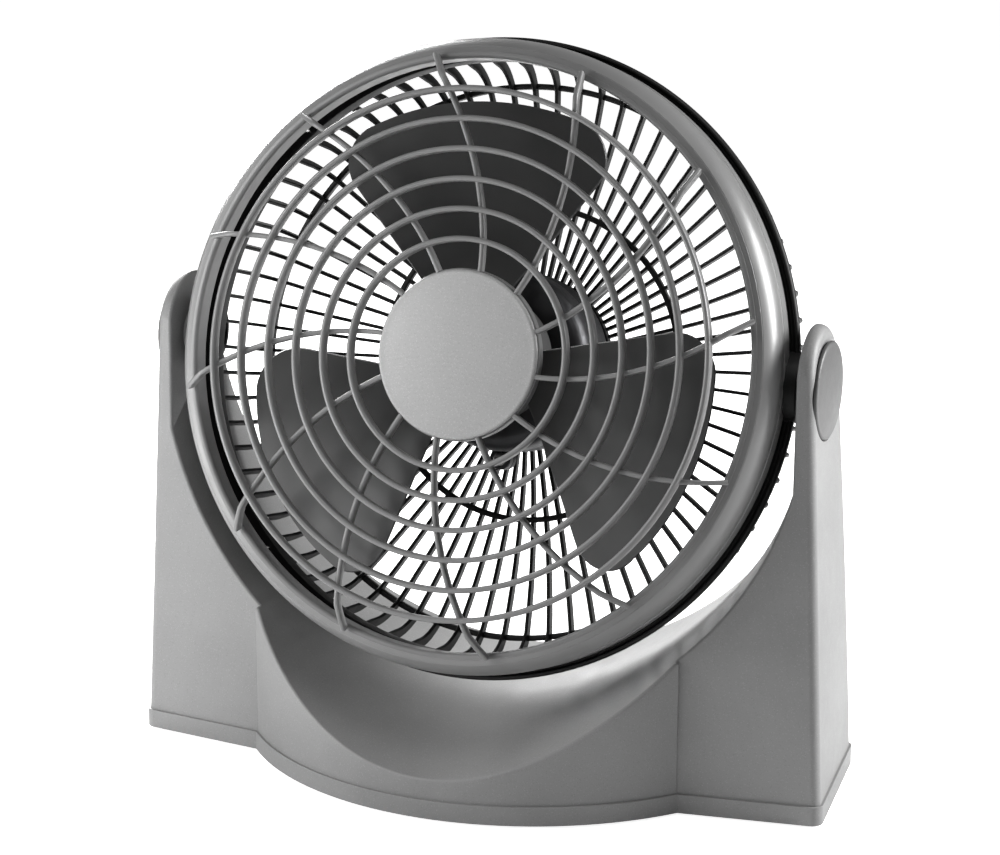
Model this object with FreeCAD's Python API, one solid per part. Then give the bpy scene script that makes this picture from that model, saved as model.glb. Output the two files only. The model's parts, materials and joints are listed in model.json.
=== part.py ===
"""A nine-inch table fan whose round head tilts between the arms of a U-shaped stand.

Row frame: +Z up, the air leaves towards -Y, +X to the right of a person facing the fan's back.
The origin is on the table, under the middle of the footprint. Head parts are drawn upright,
facing -Y with the tilt axis on X, and set_head() then leans them back and lifts them.
"""
import FreeCAD, Part
import os
from math import cos, pi, radians, sin, sqrt
from FreeCAD import Placement, Rotation, Vector

# ---- driving dimensions, in mm -------------------------------------------------------------
TILT_AXIS_HEIGHT = 188.0      # above the table
TILT_AXIS_Y = 0.8             # puts the origin in the middle of the footprint
TILT_BACK = 15.15             # degrees, lean of the head at rest
BLADE_RADIUS = 112.0          # the nine-inch propeller, with running room inside the guard
WALL = 2.6                    # stand shell
RUNNING = 0.06                # radial clearance of a turning fit

# stand: half widths and depths, measured from the tilt axis
ARM_FACE_X = 147.0            # inner faces of the arms
SIDE_X_TOP = 154.6            # outer front edge of an arm at the tilt axis
SIDE_X_BOTTOM = 163.6         # the same edge at the base
SIDE_TOE_TOP = 2.4            # how far the sides close in, front to back, at the tilt axis
SIDE_TOE_BOTTOM = 8.0         # the same at the base
FRONT_Y_TOP = -23.0
FRONT_Y_BOTTOM = -27.0
FRONT_SWEEP = 0.125           # how fast the front faces come forward towards the middle
BACK_Y_BOTTOM = 53.0
ARM_TOP_RADIUS = 23.6
ARM_TOP_RISE = 4.5            # centre of the arm's round top above the tilt axis
BULGE_RADIUS = 133.7
BULGE_CENTRE_Y = 52.0
BULGE_HALF_WIDTH = 101.4
SKIRT_HEIGHT = 8.5
SKIRT_PROUD = 1.2
EDGE_RADIUS = 4.0             # rounding of the arms' outer edges
SCOOP_ROUND = 1.2             # rounding where the scoop meets the faces around it
FOOT_HEIGHT = 1.5
# the cradle: radius of the scooped surface about the tilt axis height, back to front
CRADLE = [(75.0, 146.8), (30.0, 147.2), (0.0, 148.6), (-30.0, 153.6), (-60.0, 160.4),
          (-83.0, 169.4), (-110.0, 184.0)]

# head: radii, and distances forward of the tilt axis
BEZEL_RADIUS = 139.0
BEZEL_BORE = 129.0
BEZEL_CREST = 33.0
BEZEL_BACK = 8.0
RIM_RADIUS = 142.2
RING_RADII = [49.9, 62.8, 75.7, 88.6, 101.4, 114.3]
RING_CREST_FIRST = 42.6
RING_CREST_LAST = 46.7
RING_WIDTH = 2.4
RING_DEPTH = 5.4
SPOKE_COUNT = 12
SPOKE_WIDTH = 2.2
SPOKE_DEPTH = 4.2
SPOKE_SETBACK = 3.2           # behind the crests of the rings
SPOKE_START = 350.0           # degrees, where the first spoke leaves the hub
SPOKE_SWEEP = 20.6            # degrees it turns on its way out
CAP_RADIUS = 36.8
RIB_COUNT = 72
RIB_FIRST = 2.5               # degrees
RIB_WIDTH = 1.6

# motor and propeller
SHAFT_RADIUS = 4.0
MOTOR_RADIUS = 41.0
MOTOR_FRONT = -8.0
MOTOR_SPLIT = -28.0
MOTOR_BACK = -48.0
SHEET = 1.8
ROTOR_RADIUS = 20.1
BLADE_COUNT = 3
BLADE_SPAN = 74.0             # degrees that one blade covers
BLADE_FIRST = 59.0            # degrees, leading edge of the first blade

# tilt hardware, along the tilt axis
BOLT_RADIUS = 3.0
KNOB_RADIUS = 21.2
KNOB_SEAT = 152.9             # floor of the round recess that each knob sits in
WASHER_RADIUS = 12.3

AXIS_Y = Vector(0, 1, 0)
AXIS_X = Vector(1, 0, 0)
AXIS_Z = Vector(0, 0, 1)
ORIGIN = Vector(0, 0, 0)


# ---- helpers -------------------------------------------------------------------------------
def wire(points, to_vector):
    """Closed wire through points; a point given as (mid, end) is reached by an arc."""
    edges = []
    last = to_vector(points[0])
    for step in points[1:] + [points[0]]:
        if isinstance(step[0], tuple):
            end = to_vector(step[1])
            edges.append(Part.Arc(last, to_vector(step[0]), end).toShape())
        else:
            end = to_vector(step)
            if last.distanceToPoint(end) > 1e-6:
                edges.append(Part.makeLine(last, end))
        last = end
    return Part.Wire(edges)


def turned(points):
    """Solid of revolution about the head's axis, from (radius, forward) points."""
    profile = wire(points, lambda p: Vector(p[0], -p[1], 0))
    return Part.Face(profile).revolve(ORIGIN, AXIS_Y, 360)


def dome(radius, rim, top):
    """Arc of a profile from its rim up to the axis, which it meets squarely."""
    rise = top - rim
    ball = (radius ** 2 + rise ** 2) / (2 * rise)
    return ((radius / 2, top - ball + sqrt(ball ** 2 - radius ** 2 / 4)), (0.0, top))


def rod(radius, back, front, x=0.0, z=0.0):
    """Cylinder along the head's axis between two distances forward of the tilt axis."""
    return Part.makeCylinder(radius, front - back, Vector(x, -front, z), AXIS_Y)


def tube(outer, inner, back, front, x=0.0, z=0.0):
    return rod(outer, back, front, x, z).cut(rod(inner, back - 1, front + 1, x, z))


def cross_rod(radius, x0, x1):
    """Cylinder on the tilt axis."""
    return Part.makeCylinder(radius, abs(x1 - x0), Vector(min(x0, x1), 0, 0), AXIS_X)


def cross_tube(outer, inner, x0, x1):
    return cross_rod(outer, x0, x1).cut(cross_rod(inner, x0 - 1, x1 + 1))


def block(x0, x1, y0, y1, z0, z1):
    return Part.makeBox(x1 - x0, y1 - y0, z1 - z0, Vector(x0, y0, z0))


def around(shape, count, first=0.0):
    """Copies of a shape spaced evenly about the head's axis, counter-clockwise from the front."""
    copies = []
    for k in range(count):
        copy = shape.copy()
        copy.rotate(ORIGIN, AXIS_Y, -(first + 360.0 * k / count))
        copies.append(copy)
    return copies


def fused(shapes):
    whole = shapes[0].fuse(shapes[1:]) if len(shapes) > 1 else shapes[0]
    return whole.removeSplitter()


def mirrored(shape):
    return shape.mirror(ORIGIN, AXIS_X)


def set_head(shape):
    """Lean an upright head part back about the tilt axis and lift it to its height."""
    lean = Placement(Vector(0, TILT_AXIS_Y, TILT_AXIS_HEIGHT), Rotation(AXIS_X, -TILT_BACK))
    placed = shape.copy()
    placed.transformShape(lean.toMatrix(), True)
    return placed


def set_stand(shape):
    """Lift a part drawn about the tilt axis, without leaning it."""
    placed = shape.copy()
    placed.translate(Vector(0, TILT_AXIS_Y, TILT_AXIS_HEIGHT))
    return placed


def save(name, shape):
    shape.exportStep("parts/" + name + ".step")


# ---- stand ---------------------------------------------------------------------------------
# Drawn about the tilt axis: z = 0 at its height, so the table is at -TILT_AXIS_HEIGHT.
TABLE_Z = -TILT_AXIS_HEIGHT
SKIRT_BOTTOM_Z = TABLE_Z + FOOT_HEIGHT
SHELL_BOTTOM_Z = SKIRT_BOTTOM_Z + SKIRT_HEIGHT


def plan_corners(height, inset):
    """Plan of the stand's two straight faces and sides at a height, moved in by inset."""
    fall = height / SHELL_BOTTOM_Z
    side = SIDE_X_TOP + (SIDE_X_BOTTOM - SIDE_X_TOP) * fall - inset
    toe = SIDE_TOE_TOP + (SIDE_TOE_BOTTOM - SIDE_TOE_TOP) * fall
    front = FRONT_Y_TOP + (FRONT_Y_BOTTOM - FRONT_Y_TOP) * fall + inset
    back = 80.0
    slope = toe / (BACK_Y_BOTTOM - FRONT_Y_BOTTOM)
    far = side - slope * (back - front)
    nose = front - FRONT_SWEEP * side
    return [(side, front), (far, back), (-far, back), (-side, front), (0.0, nose)]


def ruled_block(low, high, inset):
    """Drafted body of the stand between two heights, wider at the bottom."""
    sections = []
    for height in (low, high):
        corners = [Vector(x, y, height) for x, y in plan_corners(height, inset)]
        sections.append(Part.makePolygon(corners + corners[:1]))
    return Part.makeLoft(sections, True, True)


def side_profile(inset):
    """Side view of the arms, pushed right through: sloping back and round top."""
    top = ARM_TOP_RADIUS - inset
    back_low = BACK_Y_BOTTOM - inset
    low = SHELL_BOTTOM_Z - 20
    slope = (BACK_Y_BOTTOM - ARM_TOP_RADIUS) / (ARM_TOP_RISE - SHELL_BOTTOM_Z)
    points = [(-120.0, low), (back_low + slope * 20, low), (top, ARM_TOP_RISE),
              ((0.0, ARM_TOP_RISE + top), (-top - 0.6, ARM_TOP_RISE)), (-120.0, ARM_TOP_RISE)]
    face = Part.Face(wire(points, lambda p: Vector(-200, p[0], p[1])))
    return face.extrude(Vector(400, 0, 0))


def bulge(bottom, top, inset):
    """Round front of the base."""
    drum = Part.makeCylinder(BULGE_RADIUS - inset, top - bottom,
                             Vector(0, BULGE_CENTRE_Y, bottom), AXIS_Z)
    half = BULGE_HALF_WIDTH - inset
    return drum.common(block(-half, half, -120, 0, bottom, top))


def cradle(offset):
    """Space the head turns in: a flared scoop between the arms, open at the top."""
    curve = Part.BSplineCurve()
    curve.interpolate([Vector(r + offset, y, 0) for y, r in CRADLE])
    start, end = curve.StartPoint, curve.EndPoint
    profile = Part.Wire([curve.toShape(), Part.makeLine(end, Vector(0, end.y, 0)),
                         Part.makeLine(Vector(0, end.y, 0), Vector(0, start.y, 0)),
                         Part.makeLine(Vector(0, start.y, 0), start)])
    scoop = Part.Face(profile).revolve(ORIGIN, AXIS_Y, 360)
    half = ARM_FACE_X + offset
    lower = scoop.common(block(-half, half, -130, 90, -200, 0))
    return lower.fuse(block(-half, half, -130, 90, 0, 60))


def outer_edges(body):
    """Edges round the outside of both arms: up the front, over the top and down the back."""
    chosen = []
    for edge in body.Edges:
        middle = edge.valueAt((edge.FirstParameter + edge.LastParameter) / 2)
        ends = [v.Point for v in edge.Vertexes]
        along_side = all(abs(p.x) > 140 for p in ends + [middle])
        level = all(abs(p.z - SHELL_BOTTOM_Z) < 1 for p in ends)
        if along_side and not level:
            chosen.append(edge)
    return chosen


def scoop_edges(body):
    """Edges of the scoop and of the arms' inner faces."""
    chosen = []
    for edge in body.Edges:
        middle = edge.valueAt((edge.FirstParameter + edge.LastParameter) / 2)
        reach = sqrt(middle.x ** 2 + middle.z ** 2)
        if abs(abs(middle.x) - ARM_FACE_X) < 0.3 or (middle.z < 0 and 140 < reach < 175):
            chosen.append(edge)
    return chosen


def stand_body(inset, bottom, offset):
    """Outside of the stand, or with an inset its inside."""
    body = ruled_block(bottom, 60, inset).common(side_profile(inset))
    if inset == 0.0:
        body = body.makeFillet(EDGE_RADIUS, outer_edges(body))
    body = body.fuse(bulge(bottom, -60, inset)).cut(cradle(offset))
    return body.makeFillet(SCOOP_ROUND, scoop_edges(body)) if inset == 0.0 else body


def screw_places():
    """Where the base is screwed to the shell: sides, back and round front."""
    reach = BULGE_RADIUS - WALL - 3.4
    front = (reach * sin(radians(34)), BULGE_CENTRE_Y - reach * cos(radians(34)))
    right = [(153.6, 8.0), (70.0, BACK_Y_BOTTOM - WALL - 3.6), front]
    return right + [(-x, y) for x, y in right]


def stand_shell():
    """Hollow U with a round nose, open underneath, with screw bosses and arm bores."""
    shell = stand_body(0.0, SHELL_BOTTOM_Z, 0.0)
    hollow = stand_body(WALL, SHELL_BOTTOM_Z - 1, WALL)
    hollow = hollow.common(block(-200, 200, -120, 90, -200, -42))
    shell = shell.cut(hollow)
    for x, y in screw_places():
        shell = shell.fuse(Part.makeCylinder(4.4, 18, Vector(x, y, SHELL_BOTTOM_Z), AXIS_Z))
        shell = shell.cut(Part.makeCylinder(1.4, 14, Vector(x, y, SHELL_BOTTOM_Z - 1), AXIS_Z))
    for side in (-1, 1):
        shell = shell.cut(cross_rod(6.0, side * 140, side * 160))
        shell = shell.cut(cross_rod(9.6, side * (KNOB_SEAT - 1.9), side * 160))
        shell = shell.cut(cross_rod(KNOB_RADIUS + 0.6, side * KNOB_SEAT, side * 160))
    return shell


def base_outline(proud, bottom, top):
    """Plan of the whole base pushed up between two heights."""
    corners = [Vector(x, y, bottom) for x, y in plan_corners(SHELL_BOTTOM_Z, -proud)]
    slab = Part.Face(Part.makePolygon(corners + corners[:1])).extrude(Vector(0, 0, top - bottom))
    slab = slab.common(block(-200, 200, -120, BACK_Y_BOTTOM + proud, bottom, top))
    uprights = [e for e in slab.Edges if abs(e.Vertexes[0].Z - e.Vertexes[-1].Z) > 1
                and abs(e.Vertexes[0].X) > 100]
    slab = slab.makeFillet(EDGE_RADIUS + proud, uprights)
    return slab.fuse(bulge(bottom, top, -proud)).removeSplitter()


def stand_base():
    """Tray that closes the stand from below; its wall is the plinth band."""
    tray = base_outline(SKIRT_PROUD, SKIRT_BOTTOM_Z, SHELL_BOTTOM_Z)
    tray = tray.cut(base_outline(-WALL, SKIRT_BOTTOM_Z + 2.4, SHELL_BOTTOM_Z + 1))
    for x, y in screw_places():
        tray = tray.fuse(Part.makeCylinder(4.4, SKIRT_HEIGHT, Vector(x, y, SKIRT_BOTTOM_Z), AXIS_Z))
    for x, y in screw_places():
        tray = tray.cut(Part.makeCylinder(1.6, 20, Vector(x, y, SKIRT_BOTTOM_Z - 1), AXIS_Z))
        tray = tray.cut(Part.makeCylinder(3.4, 4, Vector(x, y, SKIRT_BOTTOM_Z - 1), AXIS_Z))
    for x, y in foot_places():
        tray = tray.cut(Part.makeCylinder(2.5, 5, Vector(x, y, SKIRT_BOTTOM_Z - 1), AXIS_Z))
    return tray


def base_screws():
    screws = []
    for x, y in screw_places():
        head = Part.makeCylinder(3.0, 1.8, Vector(x, y, SKIRT_BOTTOM_Z + 1.2), AXIS_Z)
        shank = Part.makeCylinder(1.35, 15, Vector(x, y, SKIRT_BOTTOM_Z + 3.0), AXIS_Z)
        slot = block(x - 3.5, x + 3.5, y - 0.4, y + 0.4, SKIRT_BOTTOM_Z, SKIRT_BOTTOM_Z + 1.8)
        screws.append(head.fuse(shank).cut(slot))
    return Part.makeCompound(screws)


def foot_places():
    return [(sx * 138.0, y) for sx in (-1, 1) for y in (-16.0, 38.0)] + \
           [(sx * 34.0, -62.0) for sx in (-1, 1)]


def rubber_feet():
    feet = []
    for x, y in foot_places():
        pad = Part.makeCylinder(8.0, FOOT_HEIGHT, Vector(x, y, TABLE_Z), AXIS_Z)
        peg = Part.makeCylinder(2.4, 3.0, Vector(x, y, SKIRT_BOTTOM_Z), AXIS_Z)
        feet.append(pad.fuse(peg))
    return Part.makeCompound(feet)


# ---- tilt hardware -------------------------------------------------------------------------
def arm_bush():
    """Sleeve in the right arm that the tilt bolt turns in."""
    return cross_tube(5.95, BOLT_RADIUS + RUNNING, ARM_FACE_X + 0.1, KNOB_SEAT - 2.0)


def tilt_bolt():
    """Hex-headed bolt from inside the head out to the right knob."""
    corners = [Vector(136.6, 5.2 * cos(radians(60 * k)), 5.2 * sin(radians(60 * k)))
               for k in range(7)]
    head = Part.Face(Part.makePolygon(corners)).extrude(Vector(3.2, 0, 0))
    return head.fuse(cross_rod(BOLT_RADIUS, 139.8, KNOB_SEAT + 0.6))


def tilt_washer():
    dish = cross_tube(WASHER_RADIUS, BOLT_RADIUS, 139.8, 141.0)
    return dish


def friction_disc():
    """Ridged disc clamped between the head and the arm."""
    disc = cross_tube(12.6, BOLT_RADIUS, 144.2, 146.7)
    for k in range(3):
        disc = disc.cut(cross_tube(13.0, 11.9, 144.5 + 0.8 * k, 144.9 + 0.8 * k))
    return disc


def tilt_knob():
    """Thin domed clamping disc outside the right arm, on a short stem."""
    low = KNOB_SEAT + 0.6
    points = [(0.0, low - 2.3), (9.2, low - 2.3), (9.2, low), (KNOB_RADIUS - 0.6, low),
              (KNOB_RADIUS, low + 0.6), (KNOB_RADIUS, low + 1.2),
              ((KNOB_RADIUS - 0.4, low + 1.7), (KNOB_RADIUS - 1.4, low + 2.0)),
              dome(KNOB_RADIUS - 1.4, low + 2.0, low + 3.4)]
    profile = wire(points, lambda p: Vector(p[1], p[0], 0))
    knob = Part.Face(profile).revolve(ORIGIN, AXIS_X, 360)
    return knob.cut(cross_rod(5.2, 150, low + 0.8))


def knob_insert():
    """Threaded brass insert moulded into the right knob."""
    return cross_tube(5.2, BOLT_RADIUS + RUNNING, KNOB_SEAT - 1.7, KNOB_SEAT + 1.4)


# ---- front grille --------------------------------------------------------------------------
def bezel():
    """Rolled ring round the front of the head, with a skirt that runs back to the rim."""
    r, bore, crest, back = BEZEL_RADIUS, BEZEL_BORE, BEZEL_CREST, BEZEL_BACK
    outer = [(bore, crest - 9.5), (bore, crest - 3.2),
             ((bore + 0.9, crest - 1.2), (bore + 3.0, crest - 0.4)),
             ((r - 2.6, crest - 2.2), (r - 0.5, crest - 8.0)), (r, back)]
    inner = [(r - 2.0, back), (r - 2.5, crest - 8.2),
             ((r - 4.3, crest - 3.8), (bore + 3.4, crest - 2.5)), (bore + 2.2, crest - 3.6),
             (bore + 2.0, crest - 9.5)]
    return turned(outer + inner)


def ring_crest(radius):
    """Forward position of the grille's front at a radius, on its gentle dish."""
    share = (radius - RING_RADII[0]) / (RING_RADII[-1] - RING_RADII[0])
    return RING_CREST_FIRST + (RING_CREST_LAST - RING_CREST_FIRST) * share


def grille_ring(radius):
    crest = ring_crest(radius)
    half = RING_WIDTH / 2
    return turned([(radius - half, crest - RING_DEPTH), (radius + half, crest - RING_DEPTH),
                   (radius + half, crest - half),
                   ((radius, crest), (radius - half, crest - half))])


def spoke_point(radius, offset, depth):
    """Point on a spoke's side: it turns counter-clockwise as it goes out."""
    share = (radius - CAP_RADIUS) / (BEZEL_BORE - CAP_RADIUS)
    angle = radians(SPOKE_START + SPOKE_SWEEP * share) + offset / radius
    return Vector(radius * cos(angle), -depth, radius * sin(angle))


def spoke_front(radius):
    return ring_crest(max(radius, RING_RADII[0])) - SPOKE_SETBACK


def spoke_section(radius, front, depth):
    """Cross-section of a spoke at a radius, a little narrower at the back."""
    half = SPOKE_WIDTH / 2
    corners = [spoke_point(radius, -half, front), spoke_point(radius, half, front),
               spoke_point(radius, half * 0.7, front - depth),
               spoke_point(radius, -half * 0.7, front - depth)]
    return Part.makePolygon(corners + corners[:1])


def spoke():
    """Curved bar behind the rings, from the hub out and back to the bezel's lip."""
    straight = [spoke_section(r, spoke_front(r), SPOKE_DEPTH)
                for r in (CAP_RADIUS + 0.1, 60.0, 90.0, 121.0)]
    end = BEZEL_BORE + 1.6
    bend = [spoke_section(121.0, spoke_front(121.0), SPOKE_DEPTH),
            spoke_section(end, BEZEL_CREST + 4.6, 9.0)]
    return Part.makeLoft(straight, True, False).fuse(Part.makeLoft(bend, True, True))


def grille_hub():
    """Disc that carries the spokes, with sockets for the cap's pegs."""
    hub = turned([(0.0, 33.6), (CAP_RADIUS + 0.6, 33.6), (CAP_RADIUS + 0.6, 38.2),
                  (CAP_RADIUS - 0.6, 38.2), (CAP_RADIUS - 0.6, 36.4), (0.0, 36.4)])
    return hub.cut(Part.makeCompound(around(rod(2.0, 30, 40, x=24.0), 3, 30.0)))


def front_grille():
    pieces = [bezel(), grille_hub()] + [grille_ring(r) for r in RING_RADII]
    pieces += around(spoke(), SPOKE_COUNT)
    grille = fused(pieces)
    return grille.fuse(screw_bosses(3.1)).cut(screw_bosses(1.3)).removeSplitter()


def screw_bosses(radius):
    """Pillars inside the bezel's channel that take the screws from the back."""
    pillar = rod(radius, BEZEL_BACK, BEZEL_CREST - 3.0, x=134.2)
    return Part.makeCompound(around(pillar, 4, 45.0))


def centre_cap():
    cap = turned([(0.0, 36.4), (CAP_RADIUS - 0.7, 36.4), (CAP_RADIUS - 0.7, 38.3),
                  (CAP_RADIUS, 38.3), (CAP_RADIUS, 38.9),
                  ((CAP_RADIUS - 0.5, 39.7), (CAP_RADIUS - 1.8, 40.1)),
                  dome(CAP_RADIUS - 1.8, 40.1, 41.6)])
    return cap.fuse(around(rod(1.95, 32.6, 36.4, x=24.0), 3, 30.0))


# ---- rear guard ----------------------------------------------------------------------------
def rib():
    """One bar of the basket: down the side, round the corner and in to the hub plate."""
    outside = [(141.2, 1.5), (137.6, -19.0), ((134.2, -31.0), (125.0, -39.5)),
               ((84.0, -50.6), (37.0, -52.0))]
    inside = [(37.0, -48.6), ((82.0, -46.6), (122.8, -35.6)),
              ((129.6, -28.6), (132.8, -18.0)), (136.0, 1.5)]
    face = Part.Face(wire(outside + inside, lambda p: Vector(p[0], -p[1], -RIB_WIDTH / 2)))
    return face.extrude(Vector(0, 0, RIB_WIDTH))


def guard_ring(radius, back, width, depth):
    return tube(radius + width / 2, radius - width / 2, back, back + depth)


def rim():
    """Ring the basket hangs from: a lip behind the bezel, a gap, and a land under its skirt."""
    return turned([(131.6, 0.0), (RIM_RADIUS - 0.8, 0.0), (RIM_RADIUS, 0.8),
                   (RIM_RADIUS, 3.7), (RIM_RADIUS - 0.8, 4.5), (140.4, 4.5), (140.0, 2.4),
                   (138.4, 2.4), (138.4, BEZEL_BACK), (131.6, BEZEL_BACK)])


def pivot_cup():
    """Round pad in the right side wall that carries the tilt bolt."""
    behind = cross_rod(15.2, 134.0, 144.2).common(block(100, 160, -BEZEL_BACK, 40, -40, 40))
    return behind.fuse(cross_rod(15.2, BEZEL_RADIUS + 0.3, 144.2))


def hub_plate():
    plate = tube(40.0, 10.0, -52.0, MOTOR_BACK)
    return plate.cut(Part.makeCompound(around(rod(2.2, -60, -40, x=30.0), 4, 45.0)))


def rear_guard():
    pieces = [rim(), hub_plate()]
    pieces += [guard_ring(72.0, -50.6, 2.6, 3.0), guard_ring(125.6, -39.4, 2.6, 3.4)]
    pieces += [pivot_cup(), mirrored(pivot_cup())]
    guard = fused(pieces + around(rib(), RIB_COUNT, RIB_FIRST))
    for side in (-1, 1):
        guard = guard.cut(cross_rod(13.0, side * 110, side * 141))
        guard = guard.cut(cross_rod(BOLT_RADIUS + 0.02, side * 130, side * 150))
    return guard.cut(Part.makeCompound(around(rod(1.6, -1, 20, x=134.2), 4, 45.0)))


def grille_screws():
    screw = rod(1.25, 0.0, BEZEL_BACK + 9, x=134.2).fuse(rod(2.3, -1.8, 0.0, x=134.2))
    return Part.makeCompound(around(screw, 4, 45.0))


# ---- motor ---------------------------------------------------------------------------------
def motor_can(face, split, seat_depth):
    """Half of the motor's case: a drum closed at one end, with a bearing seat and four ears."""
    way = 1 if split < face else -1
    low, high = sorted((face, split))
    can = rod(MOTOR_RADIUS, low, high)
    can = can.cut(rod(MOTOR_RADIUS - SHEET, *sorted((face - way * SHEET, split - way))))
    ear = rod(5.0, *sorted((split, split + way * 4)), x=MOTOR_RADIUS + 3.4)
    ear = ear.cut(rod(1.9, low - 1, high + 1, x=MOTOR_RADIUS + 3.4))
    can = can.fuse([e.cut(rod(MOTOR_RADIUS - 0.5, low - 1, high + 1)) for e in around(ear, 4)])
    can = can.fuse(rod(11.0, *sorted((face, face - way * seat_depth))))
    return can.cut(rod(8.0, *sorted((face + way, face - way * (seat_depth + 1)))))


def vents(depth_low, depth_high):
    slots = []
    for radius in (22.0, 31.0):
        slots += around(rod(2.2, depth_low, depth_high, x=radius), 12, 15.0 if radius > 30 else 0)
    return Part.makeCompound(slots)


def motor_front_can():
    return motor_can(MOTOR_FRONT, MOTOR_SPLIT, 8.0).cut(vents(MOTOR_FRONT - 4, MOTOR_FRONT + 1))


def motor_rear_can():
    can = motor_can(MOTOR_BACK, MOTOR_SPLIT, 8.0)
    return can.cut(Part.makeCompound(around(rod(1.6, -50, -44, x=30.0), 4, 45.0)))


def motor_bolts():
    bolt = rod(1.8, MOTOR_SPLIT - 6.4, MOTOR_SPLIT + 4, x=MOTOR_RADIUS + 3.4)
    head = rod(3.2, MOTOR_SPLIT + 4, MOTOR_SPLIT + 6.2, x=MOTOR_RADIUS + 3.4)
    nut = rod(3.2, MOTOR_SPLIT - 6.4, MOTOR_SPLIT - 4, x=MOTOR_RADIUS + 3.4)
    return Part.makeCompound(around(bolt.fuse([head, nut]), 4))


def mount_screws():
    screw = rod(1.55, -52.0, MOTOR_BACK + 2.4, x=30.0).fuse(rod(3.4, -54.0, -52.0, x=30.0))
    return Part.makeCompound(around(screw, 4, 45.0))


def stator_slots(half_width):
    """Twelve openings through the stack, or the wire that fills them."""
    return around(block(25.0, 33.0, 20.0, 36.0, -half_width, half_width), 12)


def stator_core():
    core = tube(MOTOR_RADIUS - SHEET, ROTOR_RADIUS + 0.4, -36.0, -20.0)
    return core.cut(Part.makeCompound(stator_slots(2.2)))


def stator_coils():
    """Windings: rolls of wire at both ends of the stack, joined through its slots."""
    front = turned([(23.4, -20.0), (35.0, -20.0), ((36.6, -16.4), (32.0, -13.4)), (26.0, -13.4),
                    ((22.4, -16.4), (23.4, -20.0))])
    rear = turned([(23.4, -36.0), ((22.4, -39.0), (26.0, -39.6)), (32.0, -39.6),
                   ((36.6, -39.0), (35.0, -36.0))])
    return fused([front, rear] + stator_slots(2.2))


def bearing(face, way):
    return tube(8.0, SHAFT_RADIUS + RUNNING, *sorted((face, face - way * 8.0)))


def motor_shaft():
    shaft = rod(SHAFT_RADIUS, -47.0, 27.0)
    flat = block(-5, 5, -27.1, -8.0, 3.2, 6)
    return shaft.cut(flat)


def rotor_core():
    core = tube(ROTOR_RADIUS, SHAFT_RADIUS + 0.02, -36.0, -20.0)
    grooves = around(rod(1.1, -40, -10, x=ROTOR_RADIUS), 24)
    return core.cut(Part.makeCompound(grooves))


# ---- propeller -----------------------------------------------------------------------------
def blade_point(radius, share, lift):
    """Point on a blade: share runs from the leading edge at the back to the trailing edge."""
    lead = BLADE_FIRST + 10.0 * (BLADE_RADIUS - radius) / BLADE_RADIUS
    angle = radians(lead + BLADE_SPAN * share)
    forward = -1.0 + 29.0 * share + 4.5 * sin(pi * share) * (radius / BLADE_RADIUS) + lift
    return Vector(radius * cos(angle), -forward, radius * sin(angle))


def blade_sheet(lift):
    """Front or back surface of one blade, as a grid of points skinned by a spline."""
    rows = []
    for i in range(6):
        radius = 24.0 + (BLADE_RADIUS + 6.0 - 24.0) * i / 5
        rows.append([blade_point(radius, j / 8, lift) for j in range(9)])
    surface = Part.BSplineSurface()
    surface.interpolate(rows)
    return surface.toShape()


def blade_trim():
    """Plan of one blade: straight edges near the hub and generous rounds at the tip."""
    lead, trail = radians(BLADE_FIRST + 3), radians(BLADE_FIRST + BLADE_SPAN - 2)
    tip, shoulder = BLADE_RADIUS, BLADE_RADIUS - 22

    def at(radius, angle):
        return (radius * cos(angle), radius * sin(angle))
    lead_in = radians(BLADE_FIRST + 14)
    mid = (lead + trail) / 2
    points = [at(25, lead_in + 0.16), at(shoulder, lead),
              (at(tip - 5, lead + 0.06), at(tip, lead + 0.22)),
              (at(tip, mid), at(tip, trail - 0.22)),
              (at(tip - 5, trail - 0.06), at(shoulder, trail)), at(25, trail - 0.05)]
    face = Part.Face(wire(points, lambda p: Vector(p[0], -60, p[1])))
    return face.extrude(Vector(0, 90, 0))


def blade():
    front = blade_sheet(1.0)
    thick = front.extrude(Vector(0, 2.0, 0))
    return thick.common(blade_trim())


def fan_blade():
    """Three-bladed propeller with a cup-shaped hub."""
    hub = turned([(SHAFT_RADIUS, -4.0), (8.6, -4.0), (8.6, 24.0), (25.5, 22.0), (25.5, -3.0),
                  (28.0, -3.0), (28.0, 23.0), ((26.6, 26.8), (22.0, 28.0)),
                  (SHAFT_RADIUS, 28.0)])
    return fused([hub] + around(blade(), BLADE_COUNT))


def blade_nut():
    """Domed nut that holds the propeller on its shaft."""
    return turned([(0.0, 28.0), (9.0, 28.0), (9.0, 29.4), dome(9.0, 29.4, 32.2)])


# ---- control box on the back ---------------------------------------------------------------
BOX_BACK = -66.0
GLAND_Z = -23.0


def control_cover():
    """Cup behind the hub plate with the switch's bushing hole and the cord gland's hole."""
    cover = turned([(0.0, BOX_BACK), (32.0, BOX_BACK), ((33.8, BOX_BACK + 1.0), (35.0, -62.0)),
                    (36.5, -52.0), (34.3, -52.0), (32.8, -62.0),
                    ((32.4, -63.6), (31.0, -64.0)), (0.0, -64.0)])
    cover = cover.cut(rod(4.6, -70, -60))
    return cover.cut(rod(4.45, -70, -60, z=GLAND_Z))


def cord_gland():
    """Collar where the supply cord enters, below the knob on the back of the cover."""
    collar = rod(4.4, -72.6, -64.0, z=GLAND_Z).fuse(rod(5.4, -64.0, -62.6, z=GLAND_Z))
    return collar.cut(rod(2.6, -80, -60, z=GLAND_Z))


def speed_switch():
    """Rotary switch inside the control cover."""
    case = block(-11, 11, 53.0, 62.6, -11, 11)
    bushing = rod(4.5, -68.0, -62.6)
    return case.fuse(bushing).cut(rod(3.0 + RUNNING, -70, -58))


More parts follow.
